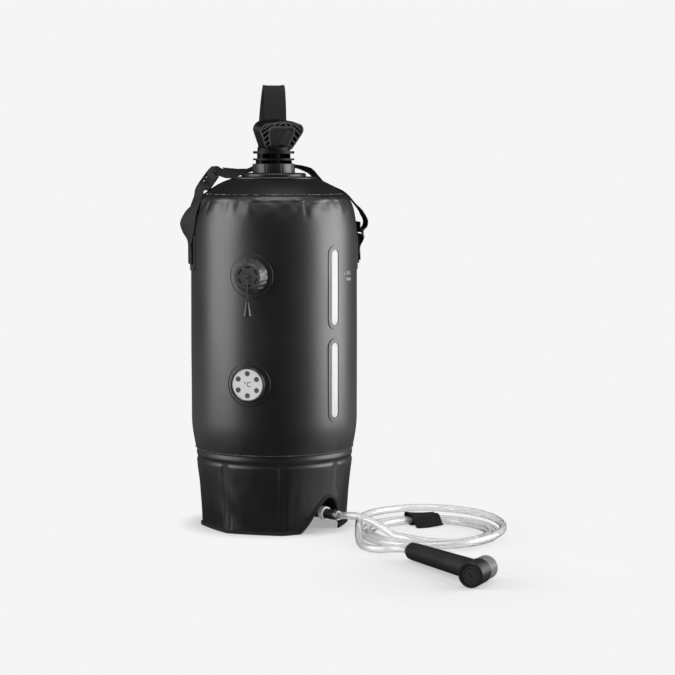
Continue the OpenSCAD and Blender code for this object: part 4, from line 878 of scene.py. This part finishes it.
# Thermometer: a printed white dial pressed into a black bezel on its welded patch, with six heat-sensitive
# spots and a degree mark.
DIAL_FACE = 0.12032
dial_white = finish("dial_white", (0.6, 0.6, 0.595), (0.68, 0.68, 0.675), (0.3, 0.4), 260, 0.00002, 0.5)
spot_ink = finish("spot_ink", (0.06, 0.06, 0.062), (0.11, 0.11, 0.115), (0.25, 0.35), 500, 0.00003, 0.5)
mark_ink = finish("mark_ink", (0.012, 0.012, 0.012), (0.03, 0.03, 0.03), (0.4, 0.5), 500, 0.00001, 0.3)
eased("bag", "black_plastic", moulded, 0.0003, "thermo_bezel")
dress(dial_white, "thermo_dial")
dress(spot_ink, "thermo_spots")


def on_dial(x, y):
    return polar(DIAL_FACE, THERMO_ANGLE, THERMO_Z + y) + level(THERMO_ANGLE) * x


lettering("degree_mark", "\u00b0C", 0.0066, on_dial, mark_ink)


# Outlet: a bulkhead elbow under the bottom panel, sealed by a gasket, with a white ring nut and a hose
# connector in the arch, and steel clamps on the hose.
dress(moulded, "outlet_flange", "outlet_elbow")
eased("bag", "black_plastic", moulded, 0.0003, "hose_connector")
dress(rubber, "outlet_gasket")
eased("bag", "white_plastic", white_plastic, 0.0004, "outlet_nut")
dress(steel, "hose_clamps")


# Hose: clear soft tube, 10 mm across, pushed on the connector. It runs over the ground into a loose coil and
# on to the handset.
HOSE_R = 0.005
HOSE_WALL = 0.0014
COIL_R = 0.073
COIL_PITCH = 0.0106
COIL_START = 225
COIL_END = 1005


def slope(path, i):
    """Direction of the smooth curve at a point of its path."""
    if i == 0:
        return (path[1] - path[0]).normalized()
    if i == len(path) - 1:
        return (path[-1] - path[-2]).normalized()
    to_here = path[i] - path[i - 1]
    onward = path[i + 1] - path[i]
    before = to_here.length
    after = onward.length
    return (to_here / before * after + onward / after * before) / (before + after)


def bend(path, i, t, first, last):
    """Point of the smooth curve at a share t of the way from one point of its path to the next."""
    span = (path[i + 1] - path[i]).length
    start = (first if i == 0 and first else slope(path, i)) * span
    end = (last if i == len(path) - 2 and last else slope(path, i + 1)) * span
    return (
        (2 * t**3 - 3 * t**2 + 1) * path[i] + (t**3 - 2 * t**2 + t) * start
        + (3 * t**2 - 2 * t**3) * path[i + 1] + (t**3 - t**2) * end
    )


def drawn(path, step, first=None, last=None):
    """Points along the smooth curve through a path."""
    points = []
    for i in range(len(path) - 1):
        n = max(1, round((path[i + 1] - path[i]).length / step))
        points += [bend(path, i, k / n, first, last) for k in range(n)]
    return points + [path[-1]]


def coil_point(turned):
    """Point of the coil after so many degrees: it comes down, winds outwards and climbs on itself."""
    r = COIL_R + COIL_PITCH * min(turned, 810) / 360
    a = math.radians(COIL_START + turned)
    z = 0.0066 + 0.0055 * (1 - smooth_step(turned / 70)) + COIL_PITCH * smooth_step((turned - 720) / 180)
    shift = 0.020 * smooth_step((turned - 830) / 130)
    return Vector((COIL_X + r * math.cos(a), COIL_Y + shift + 1.12 * r * math.sin(a), z))


outlet_out = Vector((math.sin(math.radians(45)), -math.cos(math.radians(45)), 0))
lead_start = outlet_out * 0.1171 + Vector((0, 0, 0.025))
lead = [
    lead_start,
    Vector((0.097, -0.097, 0.0266)),
    Vector((0.111, -0.111, 0.028)),
    Vector((0.124, -0.126, 0.0262)),
    Vector((0.138, -0.144, 0.022)),
    Vector((0.150, -0.160, 0.017)),
    coil_point(0),
]
handset_rear = Vector((0.174, -0.269, 0.0116))
handset_dir = Vector((0.42250, -0.90605, 0.02410))
tail = [
    coil_point(COIL_END),
    coil_point(COIL_END + 17),
    coil_point(COIL_END + 33),
    Vector((0.1125, -0.128, 0.0158)),
    Vector((0.1115, -0.150, 0.0123)),
    Vector((0.1115, -0.172, 0.008)),
    Vector((0.114, -0.196, 0.0058)),
    Vector((0.122, -0.217, 0.0056)),
    Vector((0.137, -0.231, 0.0066)),
    Vector((0.153, -0.240, 0.009)),
    Vector((0.1655, -0.252, 0.0108)),
    handset_rear,
]
coil_first = (coil_point(0.5) - coil_point(0)).normalized()
coil_last = (coil_point(COIL_END) - coil_point(COIL_END - 0.5)).normalized()
hose_line = drawn(lead, 0.004, outlet_out, coil_first)[:-1]
hose_line += [coil_point(turned) for turned in range(0, COIL_END, 4)]
hose_line += drawn(tail, 0.004, coil_last, handset_dir)[1:]
clear_pvc = bpy.data.materials.new("clear_pvc")
clear_pvc.use_nodes = True
tree = clear_pvc.node_tree
shader = tree.nodes["Principled BSDF"]
shader.inputs["Base Color"].default_value = (0.975, 0.977, 0.977, 1)
shader.inputs["Transmission Weight"].default_value = 0.9
shader.inputs["IOR"].default_value = 1.25
shader.inputs["Coat Weight"].default_value = 1.0
shader.inputs["Coat Roughness"].default_value = 0.07
where = tree.nodes.new("ShaderNodeTexCoord")
cloud = tree.nodes.new("ShaderNodeTexNoise")
cloud.inputs["Scale"].default_value = 90
tree.links.new(where.outputs["Object"], cloud.inputs["Vector"])
tree.links.new(ranged(tree, cloud.outputs["Fac"], 0, 1, 0.02, 0.07), shader.inputs["Roughness"])
bm = meshed("hose_route", strung("hose_route", hose_line, HOSE_R, 5))
hose = piece("hose", bm, "bag", clear_pvc, ["hose_lead", "hose_coil", "hose_tail"])
wall(hose, HOSE_WALL)


# Handset: a slim grip and a cylindrical head moulded in black, with a grey sleeve at the back of the head,
# a spray face held by a ring, and a rubber button on a wire spring.
handset_black = finish("handset_black", (0.011, 0.011, 0.0115), (0.017, 0.017, 0.0175), (0.34, 0.46),
                       1500, 0.00005, 0.5)
handset_grey = finish("handset_grey", (0.15, 0.15, 0.152), (0.2, 0.2, 0.202), (0.26, 0.36),
                      1500, 0.00004, 0.5)
face_plastic = finish("face_plastic", (0.026, 0.026, 0.0265), (0.036, 0.036, 0.0365), (0.34, 0.44),
                      1500, 0.00004, 0.5)
dress(handset_black, "handset_grip", "handset_nut", "head_front", "face_ring")
dress(face_plastic, "spray_face")
dress(handset_grey, "head_back")
dress(rubber, "handset_button", "button_seal")
sprung("button_spring", "button")


# Hose tie: a strip of hook-and-loop tape wrapped round the strands of the coil and closed on itself, with its
# end lying on the ground.
TIE_W = 0.038
TIE_T = 0.0012
hook_tape = finish("hook_tape", (0.006, 0.006, 0.006), (0.013, 0.013, 0.013), (0.7, 0.85), 2600, 0.0003, 0.25)
tie_route = [
    (-0.0476, 0.0011), (-0.0430, 0.0028), (-0.0372, 0.0070), (-0.0330, 0.0113), (-0.0268, 0.01415),
    (-0.0180, 0.0144), (-0.0095, 0.01415), (-0.0048, 0.0118), (-0.0040, 0.0072), (-0.0048, 0.0027),
    (-0.0095, 0.0008), (-0.0180, 0.0007), (-0.0268, 0.0008), (-0.0313, 0.0027), (-0.0320, 0.0066),
    (-0.0310, 0.0100),
]
tie_line = drawn([Vector((0.206 + 0.35 * (-0.020 - y), y, z)) for y, z in tie_route], 0.0012)
tie = ribbon("hook_tie", tie_line, [Vector((1, 0, 0))] * len(tie_line), TIE_W, 12, plain_lift,
             "bag", hook_tape, ["hose_tie"], ground=0.0007)
wall(tie, TIE_T, 0.0)


# Carry strap: 30 mm ribbed webbing from the left anchor through the adjuster, up into a standing loop behind
# the pump and over the right shoulder to the ring.
STRAP_W = 0.030
STRAP_T = 0.0010
STRAP_R = 0.11725
STRAP_COLUMNS = 48
STRAP_RIBS = 8
LEFT = -80
RIGHT = 100
webbing = finish("webbing", (0.007, 0.007, 0.0075), (0.019, 0.019, 0.02), (0.6, 0.75), 3000, 0.00012, 0.3,
                 group=tape_weave, place="UV")
adjuster_at = Vector((-0.090, -0.008, 0.4785))
adjuster_along = Vector((0.58, 0.1, 0.81)).normalized()
adjuster_lean = Vector((0.31, -0.9, -0.28))
adjuster_across = (adjuster_lean - adjuster_lean.dot(adjuster_along) * adjuster_along).normalized()
adjuster_out = adjuster_along.cross(adjuster_across)


def row(place, across):
    """A place on the strap's middle line, and the direction of its width there."""
    return Vector(place), Vector(across)


def woven(x, z):
    """Row in the adjuster, in millimetres along it and out of it."""
    return adjuster_at + adjuster_along * x * 0.001 + adjuster_out * z * 0.001, adjuster_across


def on_left(r, z):
    return polar(r, LEFT, z), level(LEFT)


def on_right(r, z):
    return polar(r, RIGHT, z), level(RIGHT, -1)


strap_rows = [
    on_left(STRAP_R, 0.364),
    on_left(STRAP_R, 0.382),
    on_left(STRAP_R + 0.001, 0.395),
    row((-0.119, -0.025, 0.406), (0.45, -0.89, 0)),
    row((-0.1186, -0.029, 0.417), (0.68, -0.73, 0)),
    row((-0.1144, -0.030, 0.432), (0.59, -0.81, 0)),
    row((-0.1075, -0.027, 0.446), (0.36, -0.93, 0)),
    row((-0.104, -0.0133, 0.459), (0.3, -0.95, -0.08)),
    woven(-16, -2.5),
    woven(-10.5, -2.5),
    woven(-2, 2.5),
    woven(2, 2.5),
    woven(10.5, -2.5),
    woven(16, -2.5),
    row((-0.0675, -0.0105, 0.4892), (0.2, -0.85, -0.46)),
    row((-0.057, -0.0045, 0.4904), (0.26, -0.88, -0.36)),
    row((-0.048, 0.004, 0.492), (0.35, -0.9, -0.2)),
    row((-0.038, 0.026, 0.4935), (0.55, -0.82, 0)),
    row((-0.025, 0.050, 0.4945), (0.7, -0.7, 0)),
    row((-0.011, 0.065, 0.504), (0.85, -0.5, 0)),
    row((-0.007, 0.069, 0.527), (1, -0.1, 0)),
    row((-0.006, 0.068, 0.556), (1, 0, 0)),
    row((-0.003, 0.0665, 0.590), (1, 0, 0)),
    row((-0.001, 0.063, 0.605), (1, 0, 0)),
    row((0, 0.05875, 0.610), (1, 0, 0)),
    row((0.001, 0.0545, 0.605), (1, 0, 0)),
    row((0.002, 0.051, 0.590), (1, 0, 0)),
    row((0.003, 0.0505, 0.556), (1, 0, 0)),
    row((0.004, 0.0515, 0.529), (0.98, -0.1, 0)),
    row((0.010, 0.0545, 0.509), (0.75, -0.6, 0)),
    row((0.023, 0.0565, 0.4995), (0.3, -0.9, 0.05)),
    row((0.038, 0.0585, 0.496), (0.12, -0.95, 0.15)),
    row((0.051, 0.0605, 0.491), (0.15, -0.92, 0.2)),
    row((0.061, 0.060, 0.481), (0.2, -0.9, 0.1)),
    row((0.072, 0.050, 0.4725), (0.15, -0.95, 0.08)),
    row((0.087, 0.038, 0.466), (0.1, -0.97, 0.05)),
    row((0.102, 0.026, 0.4575), (0.05, -0.99, 0.03)),
    row((0.113, 0.024, 0.445), (0.05, -0.99, 0)),
    on_right(0.1244, 0.433),
    on_right(0.130, 0.420),
    on_right(0.1286, 0.414),
    on_right(0.1247, 0.410),
    on_right(0.12347, 0.40713),
    on_right(0.1216, 0.4064),
    on_right(0.11973, 0.40713),
    on_right(0.119, 0.410),
    on_right(0.1188, 0.421),
]


def twist(widths, i, t):
    """Direction of a strap's width between two of its rows, turning evenly through both."""
    before, here, there, after = (widths[min(max(i + k, 0), len(widths) - 1)] for k in (-1, 0, 1, 2))
    bow = 2 * before - 5 * here + 4 * there - after + t * (3 * (here - there) + after - before)
    return here + 0.5 * t * (there - before + t * bow)


def laid(rows, step):
    """Middle line of a strap through its rows, and the direction of its width at each point."""
    places = [p for p, _ in rows]
    widths = [w for _, w in rows]
    turned = []
    for i in range(len(rows) - 1):
        n = max(1, round((places[i + 1] - places[i]).length / step))
        turned += [twist(widths, i, k / n) for k in range(n)]
    return drawn(places, step), turned + [widths[-1]]


def ribs(share):
    return 0.00026 * math.cos(share * 2 * math.pi * STRAP_RIBS)


strap_line, strap_width = laid(strap_rows, 0.0025)
strap = ribbon("strap", strap_line, strap_width, STRAP_W, STRAP_COLUMNS, ribs,
               "bag", webbing, ["carry_strap"])
wall(strap, STRAP_T, 0.0)
eased("bag", "black_plastic", moulded, 0.0005, "strap_adjuster")
dress(moulded, "strap_ring")


# Ring tab: a short doubled length of the same webbing, round the ring's lower bar and sewn to the right
# anchor. A box of stitches with a cross in it holds the tab, and another the strap's left end.
tab_route = [
    (STRAP_R, 0.364), (STRAP_R, 0.382), (STRAP_R, 0.385), (0.1187, 0.398), (0.11913, 0.40178),
    (0.1203, 0.40326), (0.1229, 0.40326), (0.12407, 0.40178), (0.12342, 0.397), (0.11895, 0.388),
    (0.11895, 0.368),
]
tab_line, tab_width = laid([(polar(r, RIGHT, z), level(RIGHT)) for r, z in tab_route], 0.0015)
tab = ribbon("ring_tab_webbing", tab_line, tab_width, STRAP_W, STRAP_COLUMNS, ribs,
             "bag", webbing, ["ring_tab"])
wall(tab, STRAP_T, 0.0)


def boxed(angle, r, low, high, half):
    """Corner points of a sewn box with a cross in it, on a strap's face."""
    corners = [(-half, low), (half, low), (half, high), (-half, high)]
    corners += [(-half, low), (half, high), (half, low), (-half, high)]
    places = [polar(r, angle, z) + level(angle) * x for x, z in corners]
    line = []
    for p, q in zip(places, places[1:]):
        line += [p + (q - p) * k / 60 for k in range(60)]
    return line


sewn_ends = (
    ("left_sewing", LEFT, 0.1181, 0.367, 0.389),
    ("right_sewing", RIGHT, 0.1198, 0.370, 0.381),
)
for name, angle, r, low, high in sewn_ends:
    box = boxed(angle, r, low, high, 0.0125)
    stitches(name, box, [polar(1, angle, 0)] * len(box), 0.0022, sewing)
